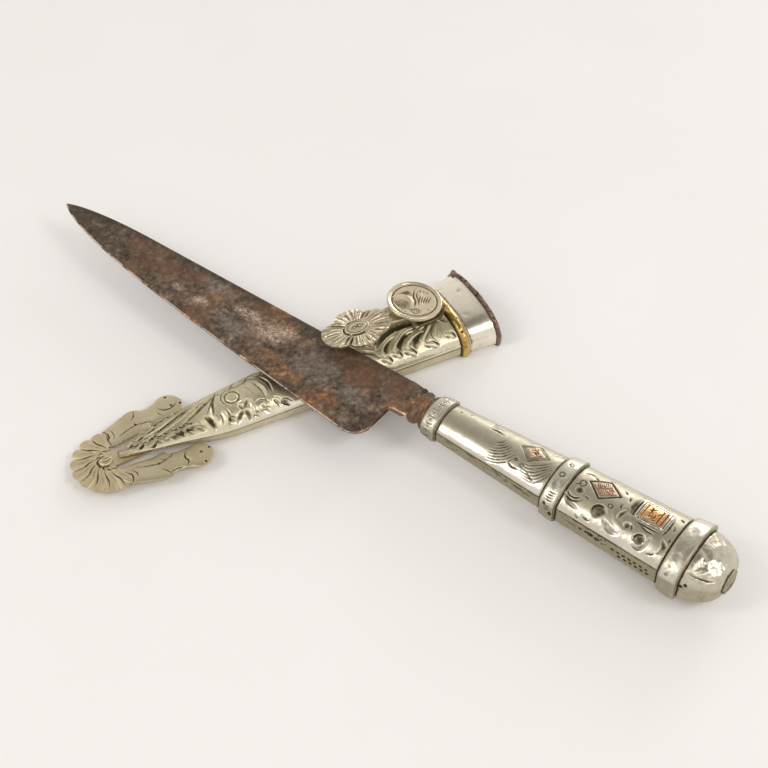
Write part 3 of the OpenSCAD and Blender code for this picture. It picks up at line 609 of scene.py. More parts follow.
# A small ribbed leaf lies between them and the bead
lines += [chased(0.34, -0.42, (38.0, -4.6), (35.9, -7.2), (35.8, -9.6), (36.9, -11.2))]
lines += [chased(0.24, -0.2, (38.9, -5.6), ((38.9 + x) / 2 + 0.2, (y - 5.6) / 2), (x, y))
          for x, y in [(36.9, -9.4), (38.0, -10.2), (39.2, -10.4), (40.4, -9.8), (41.6, -8.6)]]
for x, y, dx, dy in [(17.2, -8.6, 1.9, -2.4), (21.4, -8.5, 1.5, -2.4), (25.4, -9.2, 2.6, -2.7),
                     (32.9, -10.0, 3.4, -2.2), (41.0, -9.9, 1.6, -2.1)]:
    forms.append(chased(0.85, 0.34, (x - 0.6, y), (x + dx * 0.5, y + dy * 0.6), (x + dx, y + dy)))
    lines += [chased(0.42, -0.5, (x + 1.3, y + 0.3), (x + dx * 0.7 + 0.8, y + dy * 0.6),
                     (x + dx + 0.3, y + dy)),
              chased(0.3, -0.36, (x - 1.4, y - 0.4), (x - 0.6 + dx * 0.4, y + dy * 0.8))]
# The same leaves go on under the blade and up to the far shoulder
for base in (-14.0, -2.0, 9.0):
    for way in (1, -1):
        forms.append(chased(1.3, -0.6, (base - 5, 0.6 * way), (base, 2.6 * way), (base + 5, 5.8 * way),
                            (base + 7, 8.4 * way)))
        lines += [chased(0.45, -0.36, (base - 3, 4.4 * way), (base + 1.6, 6.4 * way), (base + 4, 9.0 * way)),
                  punched(0.4, -0.3, base + 7, 2.0 * way, 1.5)]
for x in range(-52, 44, 6):
    top = sheath_half(float(x)) - 3.2
    lines.append(chased(0.4, -0.34, (x, top - 2.6), (x + 2.2, top - 0.4), (x + 4.6, top - 2.2)))

sheath_silver = metal("sheath_silver_worn", (0.88, 0.84, 0.70), (0.74, 0.68, 0.49), (0.66, 0.59, 0.41),
                      (0.095, 0.08, 0.042), (0.14, 0.28), dirt_depth=0.40, bump=0.30)
carve(sheath_front, forms, lines, (0.10, 4.0), sheath_silver)
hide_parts("sheath_front")
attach(sheath_front, "sheath")


# Sheath back
# The plain back is one tray of the same sheet with rounded lower edges. It lies flat on the
# table, rises towards the point and is left matt.
def back_path(x, d, count):
    """The tray's section at x from seam to seam, grown outwards by d."""
    w = sheath_half(x) + flare(x) + d
    low = sheath_bottom(x) - d
    high = sheath_seam(x)
    r = min(2.0 + d, w * 0.6, (high - low) * 0.6)
    a = np.radians(np.linspace(0, 90, 9))
    left = np.stack([-w + r - r * np.cos(a), low + r - r * np.sin(a)], 1)
    right = left[::-1] * np.array([-1, 1])
    path = even(np.concatenate([[(-w, high)], left, right, [(w, high)]]), count)
    return np.concatenate([np.full((count, 1), x), path], axis=1)


back_xs = np.linspace(TIP_X, BODY_X, 240)
outer = np.stack([back_path(x, 0.0, 90) for x in back_xs])
inner = np.stack([back_path(x, -wall(x, 0.8), 24) for x in back_xs[::6]])
x, z = outer[:, :, 0], outer[:, :, 2]
worked = smooth(np.minimum(x - TIP_X, BODY_X - x) / 2) * smooth((sheath_seam(x) - z) / 1.2) * smooth(z)
sheath_back = sheet("sheath_back_metal", outer, inner, False, worked)
sheath_plain = metal("sheath_plain_worn", (0.74, 0.68, 0.52), (0.56, 0.49, 0.34), (0.60, 0.54, 0.39),
                     (0.12, 0.09, 0.05), (0.26, 0.44), bump=0.6)
# Nothing is chased here, so both strokes are of no depth
carve(sheath_back, [scored(0.1, 0.0, (-70, 0), (40, 0), 14)], [scored(0.2, 0.0, (-60, 1), (40, -2), 14)],
      (0.12, 5.0), sheath_plain)
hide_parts("sheath_back")
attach(sheath_back, "sheath")


# Throat band
# A plain band of the same sheet makes the sheath's mouth. It widens a little outwards and is
# polished like a mirror along the near shoulder.
MOUTH_X = 56.6


def loop(x, d, front, back):
    """The whole way round the sheath at x, grown outwards by d."""
    return np.concatenate([front_path(x, d, front), back_path(x, d, back)[1:-1]])


band_xs = np.linspace(45.4, MOUTH_X, 44)
outer = np.stack([loop(x, 0.0, 120, 70) for x in band_xs])
inner = np.stack([loop(x, -0.8, 50, 30) for x in band_xs[::7]])
worked = smooth(56.5 - outer[:, :, 0]) * smooth(outer[:, :, 2] / 0.6)
throat_band = sheet("throat_band_metal", outer, inner, True, worked, corner=40,
                    rubbed=(0.35 + 0.65 * smooth((np.abs(outer[:, :, 1]) - 7.5) / 3.0)).ravel())
dings = [chased(1.2, -0.10, (49, -6), (51, -7.5)), chased(1.5, -0.12, (53, 2), (54, 5)),
         chased(1.3, -0.10, (48, 7), (50, 9))]
scores = [chased(0.2, -0.03, (47.5, 0), (52, -1.5)), chased(0.2, -0.03, (50, 4), (55.5, 2.8))]
for x, wide, deep in ((47.6, 0.5, -0.16), (56.2, 0.4, -0.14)):
    scores += [scored(wide, deep, (x, y), (x, y + 3.2), 8) for y in np.arange(-14.4, 14, 3.2)]
band_silver = metal("throat_silver_polished", (0.90, 0.85, 0.73), (0.86, 0.80, 0.67), (0.94, 0.88, 0.75),
                    (0.14, 0.11, 0.06), (0.15, 0.28), dirt_depth=0.2, bump=0.15)
carve(throat_band, dings, scores, (0.10, 6.0), band_silver)
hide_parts("throat_band")
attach(throat_band, "sheath")


# Throat lip
# The mouth's edge is rolled over into a dark coppery lip, uneven and chipped from use. It is
# soldered to the band's end.
def lip_row(share, out):
    """The way round the mouth at a share of the lip's length, grown outwards."""
    row = loop(MOUTH_X, out, 150, 90)
    row[:, 0] = 56.7 + 1.8 * share
    row[:, 2] = np.maximum(row[:, 2], 0.0)
    return row


rolled = [(0, 0), (0.06, 0.4), (0.2, 0.75), (0.4, 0.95), (0.6, 1.0), (0.8, 0.85), (0.94, 0.5), (1, 0)]
outer = np.stack([lip_row(share, out) for share, out in rolled])
inner = np.stack([lip_row(0, -0.8), lip_row(0.5, -0.7), lip_row(1, -0.4)])
throat_lip = sheet("throat_lip_metal", outer, inner, True, smooth(outer[:, :, 2] / 1.2))
chips = [chased(wide, -0.3, (56.8, y), (58.2, y + way)) for y, way, wide in [
    (-12.7, 0.8, 0.7), (-9.6, -0.6, 0.5), (-1.9, 0.5, 0.8), (6.0, -0.4, 0.6), (8.3, 0.6, 0.7)]]
lip_copper = metal("lip_copper_dark", (0.46, 0.31, 0.24), (0.13, 0.085, 0.065), (0.085, 0.058, 0.045),
                   (0.04, 0.03, 0.02), (0.25, 0.5), bump=0.7)
chips.append(chased(1.2, 0.9, (57.2, 12.4), (57.6, 13.6), (58.0, 14.4)))
carve(throat_lip, chips, [(curve([(56.9, -12), (57, 12)]), 0.25, -0.12, False)], (0.75, 1.9), lip_copper)
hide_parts("throat_lip")
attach(throat_lip, "sheath")


# Brass bead
# A thick half-round bead of brass is bent over the joint between the body and the throat band
# and soldered down on both. Its crest is rubbed bright.
def bead_route(x, count):
    """The way over the sheath at x, round both shoulders and down to the table's side."""
    w = sheath_half(x) + flare(x) + 0.1
    low = sheath_bottom(x) - 0.1
    a = np.radians(np.linspace(-50, 0, 8))
    right = np.stack([np.full(8, x), w - 2.1 + 2.1 * np.cos(a), low + 2.1 + 2.1 * np.sin(a)], 1)
    left = right[::-1] * np.array([1, -1, 1])
    return even(np.concatenate([right, front_path(x, 0.1, 120), left]), count)


around = 170
body_side = bead_route(43.6, around)
band_side = bead_route(47.0, around)
way = np.gradient((body_side + band_side) / 2, axis=0)
out = np.stack([np.zeros(around), way[:, 2], -way[:, 1]], 1)
out /= np.linalg.norm(out, axis=1)[:, None]
ends = np.minimum(1, 0.35 + np.minimum(np.arange(around), np.arange(around)[::-1]) / 9)[:, None]
swell = 1 + 0.06 * np.sin(np.arange(around) * 0.19)[:, None]
a = np.linspace(0, math.pi, 13)
outer = np.stack([mix(body_side, band_side, (1 + math.cos(t)) / 2) + out * 1.6 * ends * math.sin(t) / 1.06
                  * swell for t in a], axis=1)
inner = outer[::6][:, ::12]
crest = mix(-0.9, 1.0, smooth((np.sin(a) - 0.35) / 0.5))
bead = sheet("brass_bead_metal", outer, inner, False, np.tile(np.sin(a), around),
             rubbed=np.tile(crest, around))
nicks = [chased(0.5, -0.2, (x, y), (x + 0.7, y + 1.2))
         for x, y in [(44.6, -12.9), (45.4, -8.2), (44.4, -1.8), (45.6, 4.4), (44.8, 9.0)]]
brass = metal("brass_worn", (0.84, 0.64, 0.27), (0.52, 0.34, 0.10), (0.34, 0.22, 0.08), (0.09, 0.055, 0.02),
              (0.14, 0.34), dirt_depth=0.2, bump=0.6)
carve(bead, [chased(0.8, -0.12, (45.2, -4), (45.4, 1))], nicks, (0.75, 2.3), brass)
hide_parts("brass_bead")
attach(bead, "sheath")


# Belt hook
# A springy strip of nickel silver is soldered to the sheath by its foot, bends back over itself
# and spreads into a rosette of four lobes with chased ribs round a raised oval.
def capped(rows):
    """Points and faces of a solid over rows of points, each end closed to its middle."""
    m, n = rows.shape[:2]
    points = np.concatenate([rows.reshape(-1, 3), rows[0].mean(0)[None], rows[-1].mean(0)[None]])
    faces = quads(0, m, n, True)
    for row, middle in ((0, m * n), (m - 1, m * n + 1)):
        faces += [(row * n + j, row * n + (j + 1) % n, middle) for j in range(n)]
    return points, faces


def part(points, faces, flat=None, worked=None, rubbed=1.0):
    """What merge needs of one part: its mesh and each point's place, reach and shine."""
    spots, reach = np.zeros((len(points), 2)), np.zeros(len(points))
    shine = np.full(len(points), rubbed) if np.isscalar(rubbed) else rubbed
    if flat is not None:
        spots[:len(flat)] = flat
        reach[:len(flat)] = 1.0 if worked is None else worked
    return points, faces, spots, reach, shine


def merge(name, parts, corner=50):
    """One piece of several parts."""
    start, faces = 0, []
    for points, some, *_ in parts:
        faces += [tuple(k + start for k in face) for face in some]
        start += len(points)
    return piece(name, np.concatenate([p[0] for p in parts]), faces, np.concatenate([p[2] for p in parts]),
                 np.concatenate([p[3] for p in parts]), corner, np.concatenate([p[4] for p in parts]))


# The strap's bend, the foot's height, the bend's outer radius, the strap's thickness and the
# slope at which the strap rises towards the rosette
BEND_X, FOOT_Z, BEND_R, STRAP = 39.8, 11.05, 3.2, 1.1
ROSETTE_X, MEDAL_X = 12.1, 33.7
rise = math.radians(1.0)
mid_r = BEND_R - STRAP / 2
turn = np.radians(np.linspace(-90, 90, 26))
path = [(x, FOOT_Z + STRAP / 2) for x in np.linspace(BEND_X - 8, BEND_X - 0.3, 12)]
path += [(BEND_X + mid_r * math.cos(t), FOOT_Z + BEND_R + mid_r * math.sin(t)) for t in turn]
path += [(BEND_X - run * math.cos(rise), FOOT_Z + BEND_R + mid_r + run * math.sin(rise))
         for run in np.linspace(0.4, BEND_X - 13.5, 70)]
path = np.array(path)
way = np.gradient(path, axis=0)
way /= np.linalg.norm(way, axis=1)[:, None]
corner_turn = np.radians(np.linspace(0, 90, 5))
rows = []
for spot, (tx, tz) in zip(path, way):
    half_w = (np.interp(spot[0], [22.6, MEDAL_X], [6.6, 9.6]) if spot[1] > 14 else 9.6) / 2
    r = 0.42
    y, z = half_w - r, STRAP / 2 - r
    section = []
    for cy, cz, start in ((y, z, 0), (-y, z, 90), (-y, -z, 180), (y, -z, 270)):
        section += [(cy + r * math.cos(t + math.radians(start)), cz + r * math.sin(t + math.radians(start)))
                    for t in corner_turn]
    rows.append([(spot[0] - v * -tz, u, spot[1] - v * tx) for u, v in section])
points, faces = capped(np.array(rows))
# The bend and the foot are painted dark: painted shade for the shadow under the medallion
strap = part(points, faces, rubbed=np.where(points[:, 0] > 33.0, -1.0, 0.0))


# Half the rosette's length and width, and the rows of its top
LONG, SHORT, TOP_ROWS = 12.5, 8.2, 52


def rosette_row(share, z, ribs, count=288):
    """The way round the rosette at a share of its reach, with or without its ribs."""
    a = np.linspace(0, 2 * math.pi, count, endpoint=False)
    lobe = np.abs(np.cos(2 * a)) ** 1.2
    r = np.hypot(LONG * np.cos(a), SHORT * np.sin(a)) * mix(0.80, 1.0, lobe) * share
    r *= 1 - 0.10 * (1 - lobe) ** 4 * share ** 3
    rib = np.abs(np.cos(14 * a + 0.5 * share * np.sin(2 * a))) ** 0.7
    fall = 0.85 * (1 - lobe) ** 3 * smooth((share - 0.4) / 0.3)
    return np.stack([r * np.cos(a), r * np.sin(a), z + ribs * (0.46 * rib - 0.42) - fall * ribs], 1)


shares = np.concatenate([np.linspace(0.03, 0.98, TOP_ROWS), [1.0, 1.0, 0.99]])
rows = []
for k, share in enumerate(shares):
    boss = 0.72 * math.sqrt(max(0.0, 1 - (share / 0.40) ** 2)) if share < 0.40 else 0.0
    dish = 0.36 * math.sin(math.pi * clamp01((share - 0.40) / 0.66)) ** 0.7
    edge = (0.0, -0.35, -0.85)[k - TOP_ROWS] if k >= TOP_ROWS else 0.0
    ribs = float(smooth((share - 0.42) / 0.08)) * (k <= TOP_ROWS)
    rows.append(rosette_row(share, max(boss, dish) + edge, ribs))
rows += [rosette_row(share, -STRAP, 0.0) for share in (0.97, 0.5, 0.05)]
rows = np.array(rows)
flat = rows[:, :, :2].reshape(-1, 2)
on_top = np.repeat((np.arange(len(rows)) < TOP_ROWS) * 1.0, rows.shape[1])
points, faces = capped(rows)
ON_STRAP = (Matrix.Translation((BEND_X, 0, FOOT_Z + BEND_R)) @ Matrix.Rotation(rise, 4, "Y")
            @ Matrix.Translation((0, 0, BEND_R)))


def moved(points, matrix):
    """The points carried along by the matrix."""
    m = np.array(matrix)
    return np.asarray(points) @ m[:3, :3].T + m[:3, 3]


rosette = part(moved(points, ON_STRAP @ Matrix.Translation((ROSETTE_X - BEND_X, 0, 0))), faces, flat,
               on_top, 0.6)
hook = merge("belt_hook_metal", [strap, rosette], corner=60)
grooves = [punched(0.5, -0.36, 0, 0, 4.8, 3.1), punched(0.34, -0.2, 0, 0, 3.5, 2.2)]
grooves += [chased(0.36, -0.28, (-2.9, -0.9), (-1.0, 0.5), (0.8, -0.6), (2.8, 0.8)),
            chased(0.36, -0.28, (-2.8, 0.8), (-0.9, -0.4), (0.9, 0.7), (2.9, -0.7)),
            chased(0.24, -0.2, (-0.4, -1.7), (0.4, 0.0), (-0.2, 1.7))]
# Dark grooves between the ribs, and the four deep valleys between the lobes
for k in range(28):
    t = math.radians(360 * (k + 0.5) / 28 - 2)
    reach = np.array([LONG * math.cos(t), SHORT * math.sin(t)]) * mix(0.80, 1.0, abs(math.cos(2 * t)) ** 1.2)
    grooves.append((np.linspace(reach * 0.46, reach * 0.95, 16), 0.36, -0.2, True))
for k in range(4):
    t = math.radians(45 + 90 * k)
    reach = np.array([10.0 * math.cos(t), 6.56 * math.sin(t)])
    grooves.append(scored(0.5, -0.26, reach * 0.5, reach * 0.97, 16))
alpaca = metal("hook_alpaca_worn", (0.80, 0.73, 0.57), (0.64, 0.56, 0.41), (0.60, 0.52, 0.37),
               (0.16, 0.12, 0.06), (0.2, 0.38), dirt_depth=0.24, bump=0.35)
carve(hook, [punched(0.5, -0.10, 0, 0, 10.6, 6.4)], grooves, (0.08, 3.0), alpaca)
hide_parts("belt_hook")
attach(hook, "sheath")
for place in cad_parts["medal_post"].material_slots:
    place.material = alpaca


# Medallion
# A round disc with a raised rim sits on top of the hook on a short post. Its chased picture is
# a plain folk ornament: a stem with leaves, nested bows and a small hatched bud below.
def lathe(profile, count):
    """Rows of circles, each given by its radius and its height."""
    a = np.linspace(0, 2 * math.pi, count, endpoint=False)
    return np.array([np.stack([r * np.cos(a), r * np.sin(a), np.full(count, z)], 1) for r, z in profile])


TILT, MEDAL_R = math.radians(5), 9.25
profile = [(r, 1.1) for r in np.linspace(0.15, 8.0, 58)] + [
    (8.15, 1.16), (8.3, 1.3), (8.5, 1.42), (8.8, 1.45), (9.05, 1.38), (9.2, 1.15), (MEDAL_R, 0.8),
    (9.2, 0.25), (9.0, 0.0), (5.0, 0.0), (0.2, 0.0)]
rows = lathe(profile, 220)
flat = rows[:, :, :2].reshape(-1, 2)
on_top = np.repeat((np.arange(len(rows)) < 62) * 1.0, 220)
points, faces = capped(rows)
medal_lift = MEDAL_R * math.sin(TILT) + 0.1
ON_MEDAL = (ON_STRAP @ Matrix.Translation((MEDAL_X - BEND_X, 0, medal_lift))
            @ Matrix.Rotation(TILT, 4, "Y"))
# The face is matt, the rim is rubbed
rubbed = np.where(np.hypot(points[:, 0], points[:, 1]) > 7.9, 0.9, 0.15)
medallion = merge("medallion_metal", [part(moved(points, ON_MEDAL), faces, flat, on_top, rubbed)])


def turned(strokes, degrees=-30.0):
    """The strokes, with the picture's own up turned to face the viewer."""
    c, s = math.cos(math.radians(degrees)), math.sin(math.radians(degrees))
    return [(line @ np.array([[c, s], [-s, c]]), *rest) for line, *rest in strokes]


picture = [arced(0.34, -0.24, -1.0, 1.0, 6.2 - 0.72 * k, 5.6 - 0.62 * k, 0, 96 - 6 * k, 176 + 4 * k)
           for k in range(6)]
picture += [chased(0.5, -0.28, (0.2, 5.8), (-0.4, 2.4), (0.3, -0.8), (-0.2, -3.4)),
            chased(0.34, -0.24, (1.1, 5.2), (0.7, 2.4), (1.2, 0.0), (0.9, -3.0)),
            chased(0.34, -0.24, (-1.9, -5.0), (0.2, -4.1), (2.3, -5.0)),
            chased(0.34, -0.24, (-1.9, -5.0), (0.2, -6.2), (2.3, -5.0))]
picture += [chased(0.3, -0.22, (x - 0.2, -5.7), (x + 0.2, -4.5)) for x in (-0.9, -0.2, 0.5, 1.2)]
picture += [chased(0.3, -0.22, (-5.9 + 0.7 * k, 2.6 + 0.45 * k), (-4.2 + 0.6 * k, 3.2 + 0.2 * k),
                   (-2.4 + 0.4 * k, 2.4 - 0.1 * k)) for k in range(5)]
picture += [chased(0.34, -0.26, (2.2 + 0.8 * k, 2.9 - 0.2 * k), (1.6 + 0.8 * k, 0.4),
                   (1.3 + 0.75 * k, -2.0 + 0.2 * k)) for k in range(5)]
picture += [chased(0.26, -0.2, (x - 0.5, y + 0.5), (x + 0.2, y), (x - 0.1, y - 0.7)) for x, y in [
    (1.8, 4.6), (3.0, 4.4), (4.1, 3.9), (-4.4, -4.6), (-3.4, -5.6), (4.2, -4.2)]]
swells = [chased(1.1, 0.18, (-2.8, 2.2), (-1.4, 0.2), (-1.2, -2.4)),
          chased(1.2, 0.15, (1.8, 3.4), (2.6, 0.8), (1.8, -2.2))]
edge_ring = punched(0.34, -0.26, 0, 0, 7.5)
carve(medallion, turned(swells), [edge_ring] + turned(picture), (0.05, 4.0), alpaca)
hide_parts("medallion")
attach(medallion, "sheath")


# Chape plate
# One flat plate at the sheath's point is cut and chased as a scallop shell with an arm on each
# side that ends in a rounded head. The sheath's point lies on its tongue.
SHELL_X, PLATE, SHELL_R = -77.0, 4.5, 12.4
LOBES, FAN_FROM, FAN_TO = 9, 68, 292
fan_a = np.radians(np.linspace(FAN_FROM, FAN_TO, LOBES * 26 + 1))
lobes = np.abs(np.sin(np.pi * np.linspace(0, LOBES, len(fan_a))))
shares = np.linspace(0.12, 1.0, 60)
rows = []
for share in shares:
    r = share * SHELL_R * mix(1.0, mix(0.93, 1.0, lobes ** 0.8), share)
    swirl = 0.10 * share * np.sin(fan_a)
    z = 0.52 * share * (lobes ** 0.7 - 0.66) - 1.0 * share ** 3 + 0.35 * share * (1 - share)
    rows.append(np.stack([r * np.cos(fan_a + swirl), r * np.sin(fan_a + swirl), z], 1))
outer = np.array(rows)
inner = outer[::10, ::6] * np.array([0.985, 0.985, 0.0]) + np.array([0, 0, -1.0])
inner[:, :, 2] -= (np.linspace(0.12, 1.0, 6) ** 3)[:, None]
points, faces = shell(outer, inner, False)
from_root = smooth((np.hypot(outer[:, :, 0], outer[:, :, 1]) / SHELL_R - 0.1) / 0.1)
fade = from_root * smooth((1.0 - shares)[:, None] / 0.05)
fan = part(points + np.array([SHELL_X, 0, PLATE]), faces, outer[:, :, :2].reshape(-1, 2), fade.ravel(), 0.55)


def arm_circles():
    """The circles that an arm's outline runs round, each with its radius."""
    head, shoulder = np.array([25.5, 11.7]), np.array([13.5, 10.8])
    neck = (head + shoulder) / 2 + np.array([0, -0.65])
    circles = [(head, 4.7), (shoulder + np.array([1.5, -3.7]), 2.0)]
    for a, ra, b, rb in [(np.array([4.13, 8.45]), 3.76, shoulder, 4.7),
                         (shoulder + [1, -0.4], 4.0, neck, 3.3), (neck, 3.3, head + [-0.6, -0.3], 4.0)]:
        circles += [(mix(a, b, t), mix(ra, rb, t)) for t in np.linspace(0, 1, 24)]
    return circles


def arm_part(side):
    """The arm on one side, rounded off towards its edges."""
    circles = arm_circles()
    first = min(c[0] - r for c, r in circles)
    last = max(c[0] + r for c, r in circles)
    rows = []
    for t in np.linspace(0.004, 0.996, 150):
        x = mix(first, last, (1 - math.cos(math.pi * t)) / 2)
        spans = [(c[1], math.sqrt(r * r - (x - c[0]) ** 2)) for c, r in circles if abs(x - c[0]) < r]
        low, high = min(y - s for y, s in spans), max(y + s for y, s in spans)
        y = np.linspace(low, high, 56)
        v = np.linspace(-1, 1, 56)
        z = -0.34 * np.abs(v) ** 5 - 0.16 * smooth((x - 20) / 6) * v ** 2
        rows.append(np.stack([np.full(56, x), y, z], 1))
    outer = np.array(rows)
    inner = outer[::10, ::6].copy()
    inner[:, :, 2] = -1.0
    points, faces = shell(outer, inner, False)
    v = np.abs(np.linspace(-1, 1, 56))
    fade = np.repeat(smooth((1 - v) / 0.08)[None, :], len(rows), axis=0)
    flat = outer[:, :, :2].reshape(-1, 2) * np.array([1, side])
    points = points * np.array([1, side, 1]) + np.array([SHELL_X, 0, PLATE - 0.02])
    return part(points, faces, flat, fade.ravel())


dome = np.linspace(0.05, 1.0, 12)
a = np.linspace(0, 2 * math.pi, 60, endpoint=False)
rows = [np.stack([-1.2 + 2.5 * r * np.cos(a), 2.1 * r * np.sin(a),
                  np.full(60, 0.85 * math.sqrt(1 - min(1.0, r * r)) - 0.1)], 1) for r in dome]
rows += [np.stack([-1.2 + 2.4 * np.cos(a), 2.0 * np.sin(a), np.full(60, -0.95)], 1)]
hub_rows = np.array(rows)
points, faces = capped(hub_rows)
hub = part(points + np.array([SHELL_X, 0, PLATE]), faces, hub_rows[:, :, :2].reshape(-1, 2),
           np.repeat(dome < 2, 60).tolist() + [0.0] * 60)
tongue_rows = np.array([[(x, -3.0, 3.5), (x, 3.0, 3.5), (x, 3.0, 4.45), (x, -3.0, 4.45)]
                        for x in (-78.0, -71.0, -64.0)])
tongue = part(*capped(tongue_rows))
chape = merge("chape_plate_metal", [fan, arm_part(1), arm_part(-1), hub, tongue], corner=60)
lines, forms = [], []
for k in range(LOBES + 1):
    for share, wide, deep in ((0.0, 0.42, -0.2), (0.5, 0.28, -0.1)):
        a = math.radians(FAN_FROM + 224 * (k + share) / LOBES)
        if a < math.radians(FAN_TO):
            lines.append(chased(wide, deep, *[(r * math.cos(a + bend), r * math.sin(a + bend)) for r, bend in
                                              ((4.6, -0.30), (6.4, -0.09), (8.8, 0.06), (11.6, 0.07))]))
# The far arm's head has a pit and a curved slit, the near arm's head two pits and a fold
lines += [punched(0.42, -0.55, x, y, 0.12) for x, y in [
    (26.1, 15.3), (26.4, 11.2), (29.4, 10.7), (26.1, -15.3), (26.4, -11.2), (29.4, -10.7), (12.8, -9.0),
    (13.0, 9.4)]]
lines += [chased(0.36, -0.36, (21.6, 11.9), (23.6, 10.4), (26.2, 10.2), (28.6, 11.5)),
          chased(0.3, -0.22, (22.6, 8.2), (21.4, 9.6), (21.2, 11.4)),
          chased(0.42, -0.42, (20.2, -14.2), (21.4, -12.6), (21.0, -10.6), (22.2, -8.6)),
          chased(0.3, -0.24, (13.6, -14.0), (17.0, -13.6), (19.9, -14.0))]
forms += [chased(0.5, 0.22, (21.0, -14.0), (22.2, -12.4), (21.9, -10.4))]
for way in (1, -1):
    lines += [chased(0.34, -0.24, (5.4, 6.6 * way), (9.4, 8.3 * way), (14.0, 9.0 * way), (18.4, 7.6 * way)),
              chased(0.3, -0.22, (13.4, 7.0 * way), (15.2, 8.6 * way), (17.6, 8.0 * way), (18.0, 6.6 * way)),
              chased(0.34, -0.24, (14.6, 15.2 * way), (14.0, 13.0 * way), (12.4, 11.4 * way)),
              chased(0.45, -0.34, (2.2, 7.0 * way), (3.6, 8.6 * way), (3.4, 10.6 * way), (2.4, 12.2 * way)),
              chased(0.34, -0.26, (4.4, 7.0 * way), (5.3, 8.8 * way), (5.0, 11.2 * way))]
# The root of the shell is chased all over round its small boss
lines += [punched(0.4, -0.34, -1.2, 0, 2.7, 2.2), chased(0.3, -0.28, (-3.2, 0.2), (-1.2, -0.5), (1.4, 0.3)),
          chased(0.26, -0.24, (-2.4, 1.2), (-0.8, 0.6), (0.6, 1.3))]
for t in (math.radians(75 + 26 * k) for k in range(9)):
    lines.append(chased(0.32, -0.3, *[(r * math.cos(t + bend), r * math.sin(t + bend)) for r, bend in
                                      ((3.2, 0.0), (3.9, 0.2), (4.4, 0.5))]))
for k in range(6):
    lines += [chased(0.26, -0.26, (0.6 + k * 1.1, -3.2 - 0.35 * k), (1.3 + k * 1.1, -4.0 - 0.3 * k)),
              chased(0.26, -0.26, (1.0 + k * 1.1, 3.4 + 0.35 * k), (1.6 + k * 1.1, 4.2 + 0.3 * k))]
chape_alpaca = metal("chape_alpaca_worn", (0.72, 0.64, 0.45), (0.56, 0.48, 0.31), (0.57, 0.49, 0.32),
                     (0.16, 0.12, 0.06), (0.40, 0.54), dirt_depth=0.2, bump=0.4)
carve(chape, forms, lines, (0.07, 6.0), chape_alpaca)
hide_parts("chape_plate")
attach(chape, "sheath")


# Blade
# One forging of iron: a wide blade with a rounded heel and a long straight spine, and a bolster
# filed in rings. It has browned all over, with orange rust at the heel and along the edge.

# The knife's own axis runs along X from the handle's end to the blade's point. It is turned
# this far from the sheath's, and slopes down this much towards the pommel.
ACROSS, SLOPE = math.radians(113.4), math.radians(0.8375)
ON_KNIFE = (Matrix.Translation((0, 0, 12.28)) @ Matrix.Rotation(ACROSS, 4, "Z")
            @ Matrix.Rotation(-SLOPE, 4, "Y") @ Matrix.Translation((-43.2, 0, 0)))


def bezier(a, b, c, d, count):
    """Points of a cubic curve."""
    t = np.linspace(0, 1, count)[:, None]
    a, b, c, d = map(np.array, (a, b, c, d))
    return (1 - t) ** 3 * a + 3 * (1 - t) ** 2 * t * b + 3 * (1 - t) * t ** 2 * c + t ** 3 * d


def bow(x, y, r, start, end, count):
    """Points of an arc."""
    a = np.radians(np.linspace(start, end, count))
    return np.stack([x + r * np.cos(a), y + r * np.sin(a)], 1)


point = (160.0, -1.2)
spine = np.concatenate([bezier(point, (153.6, -4.2), (139.2, -5.9), (120, -5.9), 60)[:-1],
                        np.linspace((120, -5.9), (12.5, -7.0), 60)[:-1], [(12.5, -7.0), (6.25, -6.2)]])
belly = np.concatenate([bezier(point, (144.3, 11.0), (66.7, 17.4), (18.6, 22.4), 200)[:-1],
                        bow(18.6, 16.2, 6.2, 90, 188, 40)[:-1], bow(10.9, 9.2, 3.0, 12, -90, 24)[:-1],
                        [(10.9, 6.2), (6.25, 6.2)]])
along = 420
low = even(belly, along)
# Each point of the edge faces a point of the spine beside it
reach = np.minimum.accumulate(np.minimum(low[:, 0], 160))
spine_run = even(spine, 2000)
high = np.stack([np.interp(-reach, -spine_run[:, 0], spine_run[:, k]) for k in (0, 1)], axis=1)
high[:, 0] = np.minimum.accumulate(high[:, 0] - 0.0004 * np.arange(along))
v = np.concatenate([[0.0, 0.012, 0.03], np.linspace(0.06, 0.985, 60), [1.0]])
plan = low[:, None, :] * (1 - v)[None, :, None] + high[:, None, :] * v[None, :, None]
x, y = plan[:, :, 0], plan[:, :, 1]


def belly_y(x):
    """Where the cutting edge lies at x."""
    t = clamp01((x - 18.6) / 141.4)
    s = 1 - t
    return 22.4 * (s ** 3 + 3 * s * s * t * 0.86 + 3 * s * t * t * 0.62) - 1.2 * t ** 3


thick = mix(mix(3.0, 1.3, (x - 6.25) / 154.75) / 2, 0.15, clamp01((y + 8) / (belly_y(x) + 9)))
thick *= 1 - 0.5 * smooth((v[None, :] - 0.97) / 0.03) ** 2
upper = np.concatenate([plan, thick[:, :, None]], axis=2)
lower = upper * np.array([1, 1, -1])
points, faces = shell(upper, lower[::5, ::4], False)
fade = smooth(v / 0.04)[None, :] * smooth((1 - v) / 0.03)[None, :] * np.ones((along, 1))
flat_blade = part(moved(points, ON_KNIFE), faces, plan.reshape(-1, 2), fade.ravel())


# The angle at which the grip's sides meet its arched top
ARRIS = math.radians(26)


def arch(w, h, share, bend, count):
    """The grip's arched top, which starts at a share of its height."""
    a = np.linspace(bend, math.pi - bend, 181)
    up = (np.sin(a) - math.sin(bend)) / (1 - math.sin(bend))
    return even(np.stack([w / 2 * np.cos(a) / math.cos(bend), h / 2 * mix(share, 1, up)], 1), count)


